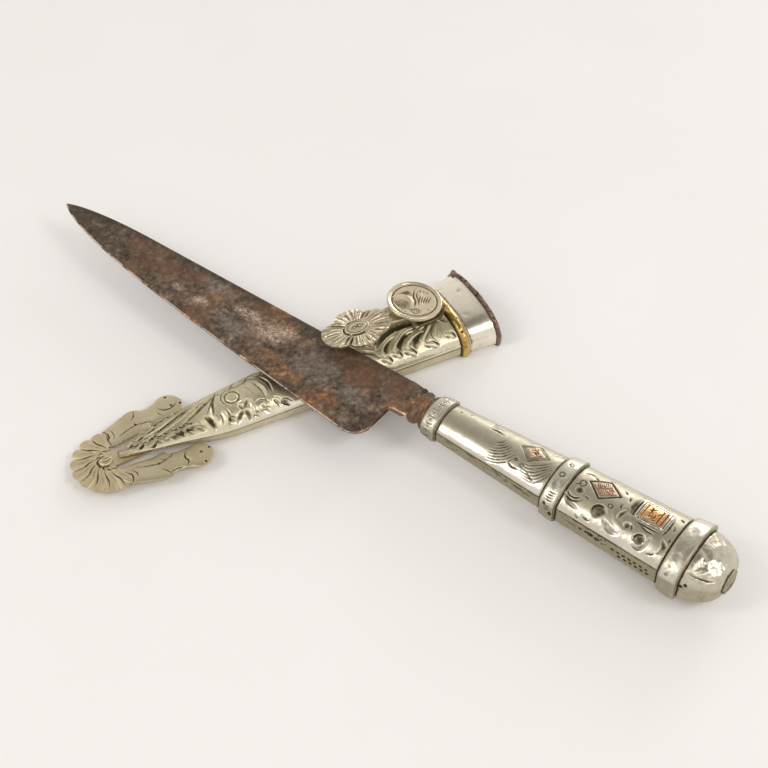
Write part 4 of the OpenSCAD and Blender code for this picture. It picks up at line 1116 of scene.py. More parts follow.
def oval(back, w, h, share=0.36, bend=ARRIS, counts=(80, 20)):
    """A closed section of the grip, and how far each of its points lies from the top's middle."""
    top = arch(w, h, share, bend, counts[0])
    drop = np.linspace(0, 1, counts[1] + 2)[1:-1, None]
    left = mix(top[-1], top[-1] * [1, -1], drop)
    right = mix(top[0] * [1, -1], top[0], drop)
    around = np.concatenate([top, left, (top * [1, -1])[::-1], right])
    step = np.linalg.norm(np.diff(around, axis=0, append=around[:1]), axis=1)
    run = np.concatenate([[0], np.cumsum(step)[:-1]])
    half_top = np.sum(step[:counts[0] - 1]) / 2
    side = half_top - run
    side[-counts[1]:] += run[-1] + step[-1]
    return (np.concatenate([np.full((len(around), 1), -back), around], axis=1),
            np.stack([np.full(len(around), back), side], 1))


rows = []
for t in np.linspace(0, 1, 90):
    filed = 0.72 * (math.cos(2 * math.pi * 3 * t) - 1) * (1 - float(smooth(2 * t - 1)))
    w = mix(13.6, 12.4, t) + filed
    h = mix(10.0, 2.7, float(smooth(t * 0.9 + 0.05))) + filed * min(1.0, 1.4 - t)
    section, _ = oval(0, w, max(h, 2.2), 0.1, math.radians(8), (60, 6))
    section[:, 0] = mix(0.1, 13.5, t)
    rows.append(section)
rings = np.array(rows)


def solid(rows, flat=None, **more):
    """A closed part of the knife over rows of points."""
    points, faces = capped(rows)
    return part(moved(points, ON_KNIFE), faces, flat, **more)


bolster = solid(rings, rings[:, :, :2].reshape(-1, 2))
tang_rows = np.array([[(x, -w, -1.5), (x, w, -1.5), (x, w, 1.5), (x, -w, 1.5)]
                      for x, w in ((6, 3.2), (-50, 2.6), (-94.5, 1.8))])
tang = solid(tang_rows)
tang_end = solid(lathe([(1.4, -93.5), (1.4, -106.4)], 24)[:, :, [2, 0, 1]])
blade = merge("blade_iron", [flat_blade, bolster, tang, tang_end], corner=60)
# How far each point lies from the cutting edge, for the rust
from_edge = np.full(len(blade.data.vertices), 6.0)
from_edge[:plan.shape[0] * plan.shape[1]] = np.linalg.norm(plan - plan[:, :1], axis=2).ravel()
# The rust gathers in the valleys between the bolster's rings too
start, t = len(flat_blade[0]), np.linspace(0, 1, 90)
valley = (1 - np.cos(6 * math.pi * t)) / 2 * (1 - smooth(2 * t - 1))
from_edge[start:start + rings.shape[0] * rings.shape[1]] = np.repeat(mix(6.0, 1.0, valley), rings.shape[1])
note(blade.data, "from_edge", from_edge)
hollows = [chased(wide, deep, (x, y), (x + dx, y + dy)) for x, y, dx, dy, wide, deep in [
    (24, 4, 6, 1, 2.2, -0.12), (38, 12, 5, -1, 1.8, -0.10), (52, 2, 8, 1, 2.4, -0.12),
    (66, 9, 6, -2, 1.8, -0.1), (84, 1, 7, 1, 2.0, -0.12), (104, 6, 6, -1, 1.6, -0.1),
    (124, 1, 5, 0, 1.4, -0.08), (16, 12, 3, 3, 1.6, -0.1)]]
hollows += [scored(1.1, -0.5, (x, -7), (x, 7), 20) for x in (2.35, 6.8)]
nicks = [(curve([(x, belly_y(x) - 0.9), (x + 0.5, belly_y(x))]), 0.5, -0.08, False)
         for x in (30.0, 47.0, 63.0, 71.0, 96.0, 118.0, 139.0)]


def rust_group():
    """Brown skin, orange rust that gathers at the edge and the heel, bare scratched places."""
    tree = bpy.data.node_groups.new("Rust", "ShaderNodeTree")
    given = sockets(tree, {"Vector": "NodeSocketVector", "Place": "NodeSocketVector",
                           "From Edge": "NodeSocketFloat"},
                    {"Color": "NodeSocketColor", "Bare": "NodeSocketFloat",
                     "Orange": "NodeSocketFloat", "Height": "NodeSocketFloat"})
    spot = given["Place"]

    def grit(scale, detail, rough=0.6):
        return noise(tree, given["Vector"], scale, detail, rough)

    def times(a, b):
        return calc(tree, "MULTIPLY", a, b)

    ragged = grit(260.0, 9.0, 0.85)

    def patches(*places):
        """Ragged patches, each given by its place on the knife and its half sizes."""
        mask = None
        for x, y, long, high in places:
            near = wire(tree, "ShaderNodeMapping", {
                "Vector": spot, "Location": (-x / long, -y / high, 0), "Scale": (1 / long, 1 / high, 0)})
            far = wire(tree, "ShaderNodeVectorMath", {0: near.outputs[0]}, operation="LENGTH")
            one = remap(tree, calc(tree, "MULTIPLY_ADD", ragged, 2.4, far.outputs["Value"]), 2.35, 1.65)
            mask = one if mask is None else calc(tree, "MAXIMUM", mask, one)
        return mask

    grain = calc(tree, "MULTIPLY_ADD", grit(620.0, 4.0, 0.7), 0.45, times(grit(170.0, 8.0, 0.75), 0.55))
    skin = ramp(tree, grain, [(0.37, (0.026, 0.019, 0.013)), (0.46, (0.088, 0.062, 0.043)),
                              (0.54, (0.180, 0.131, 0.091)), (0.63, (0.38, 0.29, 0.21))])
    warm = remap(tree, grit(70.0, 4.0), 0.47, 0.66)
    skin = blend(tree, times(warm, 0.6), skin, (0.21, 0.105, 0.056))
    # A dark band runs along the spine to the darker tip
    along = wire(tree, "ShaderNodeSeparateXYZ", {0: spot}).outputs
    spine = calc(tree, "MULTIPLY_ADD", grit(90.0, 4.0), 4.0, remap(tree, along["Y"], 1.0, -6.0, 0.0, 3.4))
    tip = remap(tree, along["X"], 122.0, 152.0, 0.0, 0.6)
    spine = calc(tree, "MAXIMUM", remap(tree, spine, 3.4, 5.2, 0.0, 0.6), tip)
    skin = blend(tree, spine, skin, (0.050, 0.045, 0.034))
    # Gray places where the skin is thin, redder ones in front of the heel and towards the tip
    gray = patches((39.5, 6.8, 11, 6.5), (25.0, 9.5, 7, 4.5), (74.0, 9.0, 9, 3.5), (90.0, -1.0, 9, 3.5))
    ash = ramp(tree, grit(620.0, 6.0, 0.8), [(0.36, (0.095, 0.078, 0.064)), (0.62, (0.37, 0.315, 0.265))])
    skin = blend(tree, times(gray, 0.55), skin, ash)
    red = patches((30.5, -1.0, 10, 5), (112.5, 2.0, 10, 6), (124.0, -0.7, 5, 3), (99.0, -0.7, 6, 3),
                  (14.0, -3.0, 6, 4))
    red = times(red, remap(tree, grit(480.0, 5.0, 0.75), 0.38, 0.58, 0.2, 0.7))
    skin = blend(tree, red, skin, (0.18, 0.085, 0.048))
    # Orange rust, most of all along the edge and at the heel
    rim = remap(tree, given["From Edge"], 4.6, 0.3)
    heel = remap(tree, along["X"], 40.0, 8.0)
    want = calc(tree, "MULTIPLY_ADD", rim, 0.13, times(heel, 0.07))
    orange = remap(tree, calc(tree, "ADD", grit(110.0, 7.0, 0.70), want), 0.63, 0.73)
    gold = patches((87.0, 1.9, 3.4, 2.6), (66.0, -5.0, 5, 2.4), (60.0, -1.5, 5, 3), (50.0, 14.6, 9, 3.4),
                   (57.5, 12.0, 5, 2.4), (30.5, 14.5, 6, 3))
    gold = times(gold, remap(tree, grit(380.0, 6.0, 0.8), 0.42, 0.56))
    orange = calc(tree, "MAXIMUM", orange, gold)
    hue = ramp(tree, grit(420.0, 5.0, 0.7), [(0.36, (0.10, 0.038, 0.016)), (0.50, (0.28, 0.115, 0.040)),
                                             (0.66, (0.56, 0.28, 0.10))])
    color = blend(tree, times(orange, 0.85), skin, hue)
    # Scratched places, and the edge itself, are bare
    stretched = wire(tree, "ShaderNodeMapping", {"Vector": spot, "Rotation": (0, 0, -0.6),
                                                 "Scale": (0.8, 2.2, 1.0)}).outputs[0]
    scraped = patches((63.0, 4.6, 8, 3.8), (58.0, 1.2, 5, 3), (74.0, 2.0, 6, 2.4), (100.4, 6.0, 3, 1.6),
                      (91.0, 6.5, 4, 2))
    bare = times(remap(tree, noise(tree, stretched, 1.0, 8.0, 0.9), 0.47, 0.53), scraped)
    pale = ramp(tree, grit(700.0, 2.0), [(0.35, (0.42, 0.26, 0.18)), (0.65, (0.95, 0.74, 0.60))])
    color = blend(tree, times(bare, 0.85), color, pale)
    thin = times(remap(tree, given["From Edge"], 0.55, 0.2), remap(tree, grit(200.0, 3.0), 0.40, 0.52))
    color = blend(tree, thin, color, (0.72, 0.60, 0.50))
    bare = calc(tree, "MAXIMUM", bare, thin)
    pits = wire(tree, "ShaderNodeTexVoronoi", {"Vector": given["Vector"], "Scale": 420.0})
    pits = remap(tree, pits.outputs["Distance"], 0.05, 0.35)
    height = calc(tree, "MULTIPLY_ADD", pits, 0.25, grit(240.0, 8.0, 0.66))
    wire(tree, "NodeGroupOutput", {"Color": color, "Bare": bare, "Orange": orange, "Height": height})
    return tree


iron, tree, shader, place = paint("blade_iron_rusty")
rust = wire(tree, "ShaderNodeGroup", {"Vector": place, "Place": attribute(tree, "flat", "Vector"),
                                      "From Edge": attribute(tree, "from_edge")},
            node_tree=rust_group()).outputs
feed(tree, shader, {"Base Color": rust["Color"],
                    "Metallic": remap(tree, rust["Orange"], 0.0, 1.0, 0.55, 0.05),
                    "Roughness": remap(tree, rust["Bare"], 0.0, 1.0, 0.56, 0.28),
                    "Normal": bumps(tree, rust["Height"], 0.7)})
carve(blade, hollows, nicks, (0.10, 1.8), iron)
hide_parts("blade")
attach(blade, "knife")


# Grip sleeves
# Two sleeves of silver sheet are wrapped round the wooden core, the rear one wider. Both are
# chased: feathers and a rhombus in front, dimples, crescents and rows of dashes behind.

# The ends of the ferrule, the front sleeve, the middle ring, the rear sleeve and the rear ring,
# in millimetres back from the blade's end of the handle
FERRULE_END, FRONT_END, REAR_START, REAR_END, CAP_START = 5.3, 46.3, 51.5, 88.4, 94.5
# The grip's height as a share of its width, and twice the thickness of its sheet
FLATNESS, SHEET = 0.775, 1.5


def front_w(back):
    """The front sleeve's width, this far back from the handle's end."""
    return mix(13.6, 18.4, (back - FERRULE_END) / 41)


def rear_w(back):
    """The rear sleeve's width, this far back from the handle's end."""
    return mix(19.8, 22.8, (back - REAR_START) / 36.9)


def grip_section(back, width, counts=(80, 20)):
    """The grip's own oval of this width."""
    return oval(back, width, width * FLATNESS, counts=counts)


def laid(sections):
    """The sections as one grid, and each point's place on the laid-out surface."""
    return np.stack([s[0] for s in sections]), np.concatenate([s[1] for s in sections])


def crease(start, end, width, below):
    """A line along the near crease of a sleeve, some way below it."""
    return np.array([(b, grip_section(b, width(b))[1][0, 1] + below) for b in np.linspace(start, end, 40)])


def grip_polish_and_highlight(flat, start, end, width):
    """Hands have worn the sleeve's top bright, and most of all the near shoulder, not its flat sides. The
    near shoulder's extra brightness is a painted highlight.
    """
    half = np.interp(flat[:, 0], [start, end], [crease(b, b, width, 0)[0, 1] for b in (start, end)])
    shoulder = 0.30 + 0.70 * smooth((flat[:, 1] / half - 0.45) / 0.3)
    top = smooth((half - np.abs(flat[:, 1])) / 0.5)
    corners = smooth((np.minimum(flat[:, 0] - start, end - flat[:, 0]) - 0.2) / 1.6)
    return (shoulder * top * mix(0.3, 1.0, corners)) - 0.12 * (1 - top)


grip_silver = metal("grip_silver_worn", (0.84, 0.80, 0.70), (0.58, 0.53, 0.42), (0.42, 0.38, 0.27),
                    (0.075, 0.065, 0.04), (0.17, 0.34), dirt_depth=0.2, bump=0.1)


def wrapped(name, outer, inner, flat, worked, **finish):
    """A piece that runs all the way round the grip."""
    points, faces = shell(outer, inner, True)
    return piece(name, moved(points, ON_KNIFE), faces, flat, worked.ravel(), **finish)


def sleeve(name, backs, width, shown, held, counts):
    """A sleeve of sheet, carved between the two stations where it is shown."""
    outer, flat = laid([grip_section(b, width(b), counts) for b in backs])
    inner = np.stack([grip_section(b, width(b) - SHEET, (16, 3))[0] for b in backs[::10]])
    ends = smooth(np.minimum(-outer[:, :, 0] - shown[0], shown[1] + outer[:, :, 0]) / 0.5)
    return wrapped(name, outer, inner, flat, ends, corner=35, rubbed=grip_polish_and_highlight(flat, *held, width))


front_sleeve = sleeve("front_sleeve_silver", np.linspace(1.325, 48.8, 158), front_w, (5.3, 46.4),
                      (FERRULE_END, FRONT_END), (96, 22))
lines = [arced(0.36, -0.17, 24.4, -0.6, 2.6 + 1.0 * k, 2.3 + 0.95 * k, 0, 100 - 4 * k, 4 * k - 8)
         for k in range(8)]
lines.append(chased(0.5, -0.2, (20.4, -1.9), (22.8, -2.4), (25.4, -1.7)))
lines += [chased(0.3, -0.12, (16.4 + 1.0 * k, -5.8 + 0.9 * k), (19.4 + 1.0 * k, -6.2 + 0.8 * k),
                 (22.0 + 0.9 * k, -5.0 + 0.3 * k)) for k in range(4)]
for reach, cross, wide in ((4.9, 4.0, 0.3), (4.0, 3.2, 0.26)):
    lines += framed(wide, -0.15, [(37 + reach, -1.6), (37, -1.6 + cross), (37 - reach, -1.6),
                                  (37, -1.6 - cross)], 14)
for k in range(6):
    lines += [chased(0.34, -0.17, (34.2 + 0.6 * k, 3.4 + 0.9 * k), (38.4 + 0.7 * k, 3.2 + 0.9 * k),
                     (42.4 + 0.5 * k, 0.4 + 0.7 * k), (45.0, -2.8 + 0.9 * k)),
              chased(0.28, -0.16, (41.0 + 0.7 * k, -4.0 - 0.4 * k), (43.6 + 0.45 * k, -5.6 - 0.2 * k))]
lines += [chased(0.4, -0.22, (31.5, 5.2), (33.5, 6.4), (36.0, 6.0)),
          punched(0.34, -0.2, 36.0, 4.4, 0.5), punched(0.3, -0.2, 33.6, 3.6, 0.4),
          chased(0.32, -0.22, (38, 5.0), (40, 6.6), (43, 7.8))]
# Dirt beside both rings and under the near crease
lines += [scored(0.55, -0.24, (x, -30), (x, 30), 60) for x in (5.75, 45.9)]
lines += [(crease(5.5, 46, front_w, 0.35), 0.34, -0.2, False),
          (crease(24, 45, front_w, 1.7), 0.3, -0.14, True)]
# Tool slips and pits on the flat side
lines += [chased(0.3, -0.22, (x, s), (x + dx / 2, s + ds * 0.7), (x + dx, s + ds)) for x, s, dx, ds in [
    (9.5, 9.4, 3.0, 0.5), (17.0, 9.6, 5.0, 0.5), (27.5, 10.4, 4.0, 0.5), (35.0, 11.6, 4.6, 0.8),
    (38.0, 12.6, 5.0, 0.4), (41.0, 10.9, 3.6, 0.8), (31.5, 12.2, 2.8, 0.3), (12.0, 11.4, 2.0, 0.2)]]
lines += [punched(0.3, -0.18, x, s, 0.06) for x, s in [
    (14.2, 10.8), (19.6, 11.2), (22.0, 10.7), (24.8, 11.8), (26.4, 11.0), (29.8, 12.0), (33.6, 11.4),
    (9.0, -2.4), (12.2, -3.6)]]
carve(front_sleeve, [], lines, (0.14, 4.5), grip_silver, 0.12)
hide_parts("front_sleeve")
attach(front_sleeve, "knife")

rear_sleeve = sleeve("rear_sleeve_silver", np.linspace(48.9, 91.4, 142), rear_w, (51.4, 88.5),
                     (REAR_START, REAR_END), (110, 24))
forms = [punched(2.5, -0.48, 64.4, 6.0, 0.2), punched(1.5, -0.42, 55.6, 3.0, 0.2),
         punched(2.1, -0.46, 79.2, 7.8, 0.2), punched(1.3, -0.42, 73.6, 5.9, 0.2),
         chased(1.2, -0.42, (84.6, 4.4), (86.2, 6.6), (85.4, 9.0)),
         chased(1.0, -0.34, (52.8, 5.0), (54.6, 7.6), (58.2, 8.6)),
         chased(1.3, 0.10, (67.6, 3.4), (69.6, 5.8), (72.8, 7.6), (76.0, 6.8)),
         chased(1.0, -0.4, (71.6, 0.8), (70.4, 3.2), (70.0, 5.6)),
         chased(1.0, -0.46, (72.4, -5.4), (71.9, -1.0), (72.6, 2.6)),
         chased(1.3, -0.34, (66.6, 7.6), (69.6, 9.4), (72.6, 9.6)),
         chased(1.0, -0.36, (81.6, 5.4), (80.4, 9.8), (77.6, 10.2))]
lines = [punched(0.3, -0.22, 55.2, 0.4, 1.0), arced(0.35, -0.26, 54.9, 3.4, 2.6, 2.6, 0, 130, 20),
         arced(0.35, -0.26, 54.9, 3.4, 3.6, 3.6, 0, 120, 20),
         arced(0.55, -0.26, 64.2, 6.0, 2.2, 1.9, 0, 150, 140),
         arced(0.5, -0.26, 79.0, 7.8, 1.8, 1.6, 0, 140, 140), punched(0.3, -0.2, 66.2, 2.8, 0.7),
         chased(0.4, -0.3, (76.4, 3.6), (79.0, 4.4), (81.8, 4.6)),
         chased(0.38, -0.34, (84.2, -4.6), (84.5, 0.6), (84.0, 3.6)),
         chased(0.35, -0.3, (85.4, -6.0), (87.0, -4.6)), chased(0.4, -0.28, (60.6, -6.4), (63.0, -7.6)),
         chased(0.32, -0.24, (53.6, -3.6), (55.4, -4.8), (57.4, -4.4))]
lines += framed(0.4, -0.3, [(61.8 + 5.3, -1.6), (61.8, 2.5), (61.8 - 5.3, -1.6), (61.8, -5.7)], 14)
for x0, s0, count in [(60.5, 14.4, 3), (72.0, 15.4, 7), (74.5, 17.0, 6)]:
    for k in range(count):
        x = x0 + 1.95 * k
        lines.append(chased(0.6, -0.44, (x, s0 + 0.1 * k), (x + 1.2, s0 + 0.1 * k + 0.25)))
lines += [punched(0.34, -0.28, x, s, 0.06) for x, s in [
    (67.4, 13.2), (68.6, 14.0), (67.8, 15.0), (69.8, 13.4), (70.0, 15.2), (69.0, 15.8)]]
lines += [chased(0.28, -0.22, (53.0, 11.6), (59.0, 12.0), (66.0, 12.3), (76.0, 12.2)),
          punched(0.36, -0.4, 64.6, 14.6, 0.8, 0.5), punched(0.34, -0.4, 67.0, 15.0, 0.6, 0.4),
          chased(0.3, -0.2, (55.0, 14.0), (60.0, 14.8)), (crease(51.8, 88, rear_w, 0.3), 0.36, -0.2, False)]
lines += [scored(0.6, -0.26, (x, -36), (x, 36), 70) for x in (51.9, 88.0)]
# The dark channel in front of the plaque, and tool marks all round the inlays
lines += [(np.linspace((73.2, 2.4), (73.2, -5.4), 14), 0.7, -0.4, True),
          (np.linspace((73.6, 3.3), (84.4, 3.3), 14), 0.4, -0.26, True)]
for x, s, dx, ds in [
        (53.2, 1.8, 1.6, -1.4), (56.6, -4.6, 2.0, 1.2), (57.6, 3.6, 2.2, 0.4), (66.6, -5.6, 1.6, 1.8),
        (68.6, 0.2, 0.4, 2.0), (69.4, -3.8, 0.6, 2.4), (85.6, -1.4, 0.5, 2.2), (86.4, 2.6, 0.2, 2.0),
        (60.2, 9.6, 3.0, 0.5), (82.6, 10.4, 2.4, -1.2), (58.0, 10.2, 1.6, 0.8), (74.6, 4.6, 0.8, 1.8)]:
    lines.append(chased(0.34, -0.26, (x, s), (x + dx / 2 + 0.2, s + ds / 2 + 0.2), (x + dx, s + ds)))
carve(rear_sleeve, forms, lines, (0.30, 4.6), grip_silver, 0.36)
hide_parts("rear_sleeve")
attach(rear_sleeve, "knife")


# Grip rings
# Three bands of silver with rounded edges hold the sleeves' ends: the ferrule, stamped with small
# flowers, the ring over the sleeves' joint and the plain heavy ring before the pommel.
ring_silver = metal("ring_silver_worn", (0.82, 0.79, 0.70), (0.58, 0.54, 0.44), (0.44, 0.40, 0.30),
                    (0.08, 0.07, 0.045), (0.18, 0.38), dirt_depth=0.16, bump=0.4)


def band(name, start, length, inner_front, inner_rear, proud, forms, lines, dents):
    """A ring round the grip, from its start back over its length, proud of what it holds."""
    w0, w1 = inner_front + 0.2 + 2 * proud, inner_rear + 0.2 + 2 * (proud + 0.5)
    t = np.concatenate([[0, 0.01, 0.03, 0.07], np.linspace(0.12, 0.88, 18), [0.93, 0.97, 0.99, 1.0]])
    from_end = np.minimum(t, 1 - t)
    edge = 0.8 * (1 - np.sqrt(clamp01(1 - (clamp01(0.13 - from_end) / 0.13) ** 2)))
    backs = start + t * length
    widths = mix(w0, w1, t) - 0.9 * edge - 0.10 * (2 * t - 1) ** 2
    outer, flat = laid([grip_section(b, w, (96, 18)) for b, w in zip(backs, widths)])
    inner = np.stack([grip_section(b, w + 0.2, (24, 4))[0]
                      for b, w in ((start, inner_front), (start + length, inner_rear))])
    worked = np.repeat((from_end > 0.005) * 1.0, outer.shape[1])
    half = crease(start, start, lambda b: w1, 0)[0, 1]
    rubbed = mix(-0.1, 0.72, smooth((half + 0.6 - np.abs(flat[:, 1])) / 1.6))
    rubbed *= np.repeat(mix(0.3, 1.0, smooth((from_end * length - 0.3) / 0.6)), outer.shape[1])
    obj = wrapped(name + "_silver", outer, inner, flat, worked, corner=60, rubbed=rubbed)
    carve(obj, forms, lines, dents, ring_silver)
    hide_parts(name)
    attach(obj, "knife")


flowers, petals = [], []
for k in range(-7, 8):
    s = 2.5 * k + 0.4
    flowers += [punched(0.3, -0.16, 2.6, s, 0.05),
                chased(0.26, -0.16, (1.1, s + 1.25), (2.7, s + 1.6), (4.2, s + 1.2))]
    for a in (math.radians(72 * j + 20 * k) for j in range(5)):
        petals.append(chased(0.42, 0.16, (2.6 + 0.45 * math.cos(a), s + 0.45 * math.sin(a)),
                             (2.6 + 1.15 * math.cos(a), s + 1.0 * math.sin(a))))
band("front_ferrule", 0.0, 5.3, front_w(0), front_w(FERRULE_END), 0.5, petals, flowers, (0.10, 2.5))
stamps = [punched(0.26, -0.18, 48.6, 1.6, 0.8), punched(0.26, -0.16, 48.8, -3.4, 0.6)]
stamps += [chased(0.26, -0.2, (47.6, s), (49.2, s + 0.25), (50.6, s))
           for s in (8.0, 8.9, 9.8, 10.7, 12.4, 13.3, 14.2)]
band("mid_ring", FRONT_END, 5.2, rear_w(FRONT_END), rear_w(REAR_START), 0.5,
     [chased(1.2, -0.1, (48.6, 4), (48.9, 7)), chased(0.9, -0.36, (47.6, 11.6), (48.4, 13.0)),
      chased(0.9, -0.5, (50.4, 14.8), (50.9, 16.6))],
     stamps, (0.14, 3.0))
band("rear_ring", REAR_END, 6.1, rear_w(REAR_END), rear_w(CAP_START), 1.0,
     [chased(1.6, -0.16, (91.0, 6), (91.6, 9)), chased(1.8, -0.12, (90.4, -5), (91.6, -1))],
     [chased(0.3, -0.14, (90.2, 10.4), (91.4, 11.8)), punched(0.3, -0.12, 91.0, 13.6, 0.4)], (0.30, 2.7))


# Pommel cap and tang button
# The cap is a dome of silver sheet, hammered by hand and creased at its sides. A round button on
# the tang's end holds it on, with a slot filed across.
BUTTON_W = 9.8


def cap_w(back):
    """The cap's width, which shrinks towards the button."""
    t = clamp01((back - CAP_START) / 11)
    return float(mix(rear_w(min(back, CAP_START)), BUTTON_W, 1 - (1 - t ** 1.6) ** 0.5))


quarter = np.linspace(0, math.pi / 2, 60)
backs = np.concatenate([np.linspace(91.55, 94.4, 6), CAP_START + 11 * np.sin(quarter)])
sections = [grip_section(b, cap_w(b), (110, 24)) for b in backs]
sections += [grip_section(105.5, BUTTON_W * share, (110, 24)) for share in (0.85, 0.65, 0.5)]
outer, flat = laid(sections)
inside = [(91.55, rear_w(91.55) - SHEET)] + [(b, cap_w(b) - SHEET) for b in (94.5, 97, 99.5, 102, 104)]
inner = np.stack([grip_section(b, w, (16, 3))[0] for b, w in inside + [(104.7, 7.0), (104.75, 4.4)]])
worked = np.ones(outer.shape[:2])
worked[:7] = 0
worked[-4:] = 0
half = np.repeat([spread[0, 1] for _, spread in sections], outer.shape[1])
rubbed = mix(0.1, 0.66, smooth((half + 1.0 - np.abs(flat[:, 1])) / 3.0)) * smooth((flat[:, 0] - 94.4) / 1.6)
cap = wrapped("pommel_cap_silver", outer, inner, flat, worked, corner=45, rubbed=rubbed)
blows = [punched(wide, -0.16, x, s, 0.3) for x, s, wide in [
    (97.6, 1.0, 2.6), (98.6, 6.0, 2.2), (101.0, -2.5, 2.4), (97.5, -6.0, 2.6), (101.6, 3.6, 1.9),
    (97.2, 11.0, 2.2), (100.6, 8.6, 1.8), (99.6, -9.0, 2.2)]]
seams = [chased(0.34, -0.2, (95.6, 9.6), (98.6, 9.2), (101.6, 8.0), (104.0, 6.0)),
         punched(0.55, -0.5, 97.0, 13.2, 0.15), punched(0.45, -0.3, 95.7, 14.6, 0.3),
         chased(0.26, -0.12, (96.0, -3.0), (98.8, -2.2), (100.6, -3.0)),
         scored(0.5, -0.24, (94.95, -38), (94.95, 38), 70)]
carve(cap, blows, seams, (0.66, 2.3), grip_silver, 0.26)
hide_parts("pommel_cap")
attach(cap, "knife")

profile = [(1.6, -105.62), (3.9, -105.62), (4.1, -105.8), (4.12, -106.08), (4.0, -106.26), (3.7, -106.38),
           (3.2, -106.52), (2.6, -106.66), (2.0, -106.84), (1.4, -106.89), (0.8, -106.92), (0.2, -106.94)]
rows = lathe(profile, 120)
on_face = np.repeat([0.0] * 3 + [1.0] * 9, 120)
button = merge("tang_button_silver", [solid(rows[:, :, [2, 0, 1]], rows[:, :, :2].reshape(-1, 2),
                                            worked=on_face, rubbed=-0.05)])
carve(button, [punched(1.2, -0.1, 1.5, 1.2, 0.2)],
      [scored(0.5, -0.5, (-4.2, 0.9), (4.2, -0.7), 30), punched(0.3, -0.16, 0, 0, 3.5)],
      (0.10, 1.6), ring_silver)
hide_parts("tang_button")
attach(button, "knife")


# Inlays
# Thin copper pieces follow the arch of the sleeves: a small rhombus, a rhombus in four cells with
# silver between them, and an oblong plaque in a silver frame. Each is chased and rubbed.
def tile(corners, width, low, high, count=26):
    """A thin plate between four corners on the laid-out top of the grip."""
    u = np.linspace(0, 1, count)[:, None, None]
    v = np.linspace(0, 1, count)[None, :, None]
    a, b, c, d = (np.array(corner, float) for corner in corners)
    plan = a * (1 - u) * (1 - v) + b * u * (1 - v) + c * u * v + d * (1 - u) * v

    def lay(plan, d):
        w = width(plan[:, :, 0]) + 2 * d
        cosine = 2 * plan[:, :, 1] * math.cos(ARRIS) / w
        up = (np.sqrt(1 - cosine ** 2) - math.sin(ARRIS)) / (1 - math.sin(ARRIS))
        return np.stack([-plan[:, :, 0], plan[:, :, 1], w * FLATNESS / 2 * mix(0.36, 1, up)], 2)

    points, faces = shell(lay(plan, high), lay(plan[::5, ::5], low), False)
    inside = np.minimum(np.minimum(u, 1 - u), np.minimum(v, 1 - v))[:, :, 0]
    return part(moved(points, ON_KNIFE), faces, plan.reshape(-1, 2), smooth(inside / 0.06).ravel())


copper = metal("copper_rubbed", (0.88, 0.54, 0.28), (0.54, 0.27, 0.10), (0.46, 0.21, 0.08),
               (0.11, 0.05, 0.02), (0.26, 0.46), dirt_depth=0.11, bump=0.6)
faded_copper = metal("copper_faded", (0.88, 0.63, 0.45), (0.62, 0.40, 0.27), (0.50, 0.30, 0.19),
                     (0.13, 0.08, 0.045), (0.26, 0.46), dirt_depth=0.11, bump=0.8)
small = merge("small_rhombus_copper", [tile([(39.5, -1.6), (37, 0.9), (34.5, -1.6), (37, -4.1)], front_w,
                                            0.1, 0.42)])
carve(small, [punched(0.8, -0.12, 37.6, -1.2, 0.3)],
      [chased(0.26, -0.14, (35.4, -1.4), (36.8, -2.4), (38.4, -1.6)),
       chased(0.26, -0.12, (36.2, -0.4), (37.0, -1.2), (38.0, -0.6)),
       chased(0.24, -0.12, (36.6, -3.3), (37.6, -2.8))], (0.16, 1.4), faded_copper)
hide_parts("small_rhombus")
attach(small, "knife")

middle, reach, cross, filled = np.array([61.8, -1.6]), 4.3, 3.1, 0.80
long, wide = np.array([reach / 2 * filled, 0]), np.array([0, cross / 2 * filled])
cells = []
for offset in ((reach, 0), (0, -cross), (0, cross), (-reach, 0)):
    centre = middle + np.array(offset) * 0.5
    cells.append(tile([centre + long, centre + wide, centre - long, centre - wide], rear_w, 0.1, 0.42, 18))
quartered = merge("quartered_rhombus_copper", cells)
hatch = [scored(0.17, -0.12, (58.2 + 0.62 * k, -1.6 - 2.6), (60.4 + 0.62 * k, -1.6 + 2.6), 16)
         for k in range(9)]
carve(quartered, [punched(0.7, -0.1, 60.0, -1.2, 0.2), punched(0.7, -0.1, 63.6, -2.0, 0.2)], hatch,
      (0.14, 1.2), faded_copper)
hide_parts("quartered_rhombus")
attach(quartered, "knife")

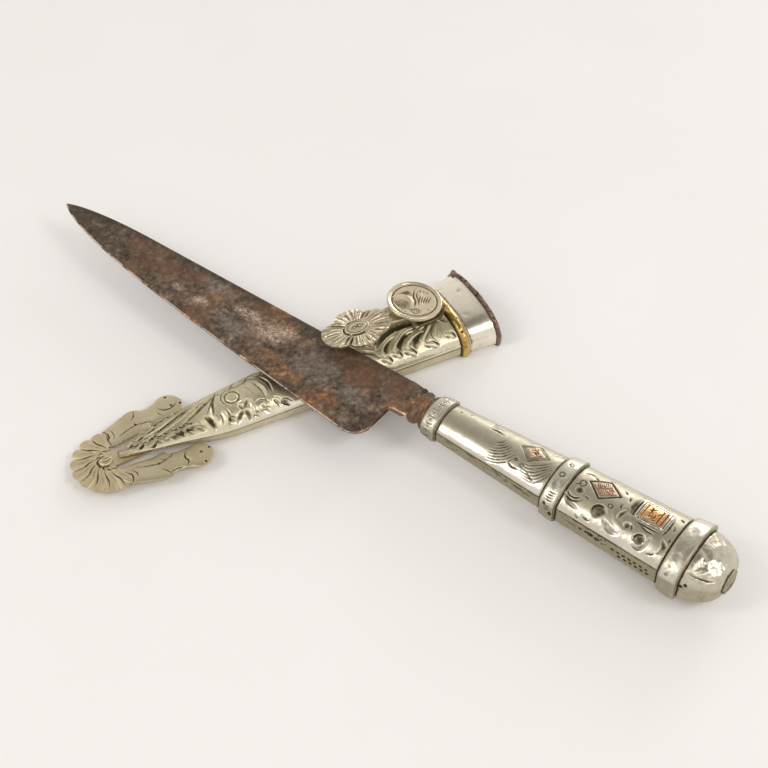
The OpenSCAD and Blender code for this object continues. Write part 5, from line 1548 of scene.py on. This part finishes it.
PLAQUE_X = 78.6
x0, x1 = PLAQUE_X - 3.8, PLAQUE_X + 3.8
plaque = merge("copper_plaque_copper", [tile([(x1, 1.4), (x0, 1.4), (x0, -4.6), (x1, -4.6)], rear_w,
                                             0.1, 0.40, 40)])
carve(plaque, [(curve([(81.0, 1.2), (81.1, -4.4)]), 0.5, 0.14, False), punched(1.2, -0.12, 77.6, -0.8, 0.3)],
      [chased(0.3, -0.18, (76.4, 0.6), (77.8, -0.8), (77.2, -2.6), (78.6, -3.8)),
       chased(0.26, -0.16, (78.0, 0.8), (79.0, -0.6), (78.6, -2.4)),
       scored(0.24, -0.16, (75.4, 1.0), (75.4, -4.2), 12), scored(0.24, -0.18, (81.9, 1.0), (81.9, -4.2), 12),
       chased(0.24, -0.14, (79.4, -1.0), (80.2, -3.4)),
       scored(0.26, -0.18, (80.5, 1.0), (80.5, -4.2), 12),
       chased(0.28, -0.18, (76.2, -1.8), (77.2, -3.2), (76.4, -4.0)),
       chased(0.28, -0.18, (78.8, 0.9), (79.9, 0.3))], (0.24, 1.5), copper)
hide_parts("copper_plaque")
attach(plaque, "knife")


def box(out):
    """The corners of a box round the plaque, some way outside the frame's inner edge."""
    x0, x1, y0, y1 = PLAQUE_X - 3.9 - out, PLAQUE_X + 3.9 + out, -4.7 - out, 1.5 + out
    return [(x0, y1), (x1, y1), (x1, y0), (x0, y0)]


near, far = box(0), box(1.1)
sides = [tile([near[i], near[j], far[j], far[i]], rear_w, 0.1, 0.45)
         for i, j in ((0, 1), (3, 2), (3, 0), (2, 1))]
plaque_frame = merge("plaque_frame_silver", sides)
carve(plaque_frame, [chased(0.6, -0.12, (76, 2.1), (80, 2.1))], framed(0.22, -0.18, box(0.5), 20),
      (0.14, 1.6), ring_silver)
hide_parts("plaque_frame")
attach(plaque_frame, "knife")


# Grip core
# The core inside the sleeves is a bored piece of hardwood. Only its front end can be seen, deep
# in the ferrule.
wood, tree, shader, place = paint("core_wood_grain")
fibre = wire(tree, "ShaderNodeMapping", {"Vector": place, "Rotation": (0, 0, -ACROSS),
                                         "Scale": (60.0, 900.0, 900.0)}).outputs[0]
grain = noise(tree, fibre, 1.0, 6.0)
brown = ramp(tree, grain, [(0.3, (0.10, 0.045, 0.02)), (0.5, (0.22, 0.11, 0.05)), (0.72, (0.34, 0.19, 0.09))])
feed(tree, shader, {"Base Color": brown, "Roughness": remap(tree, grain, 0.0, 1.0, 0.75, 0.5),
                    "Normal": bumps(tree, grain, 0.4)})
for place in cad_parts["grip_core"].material_slots:
    place.material = wood
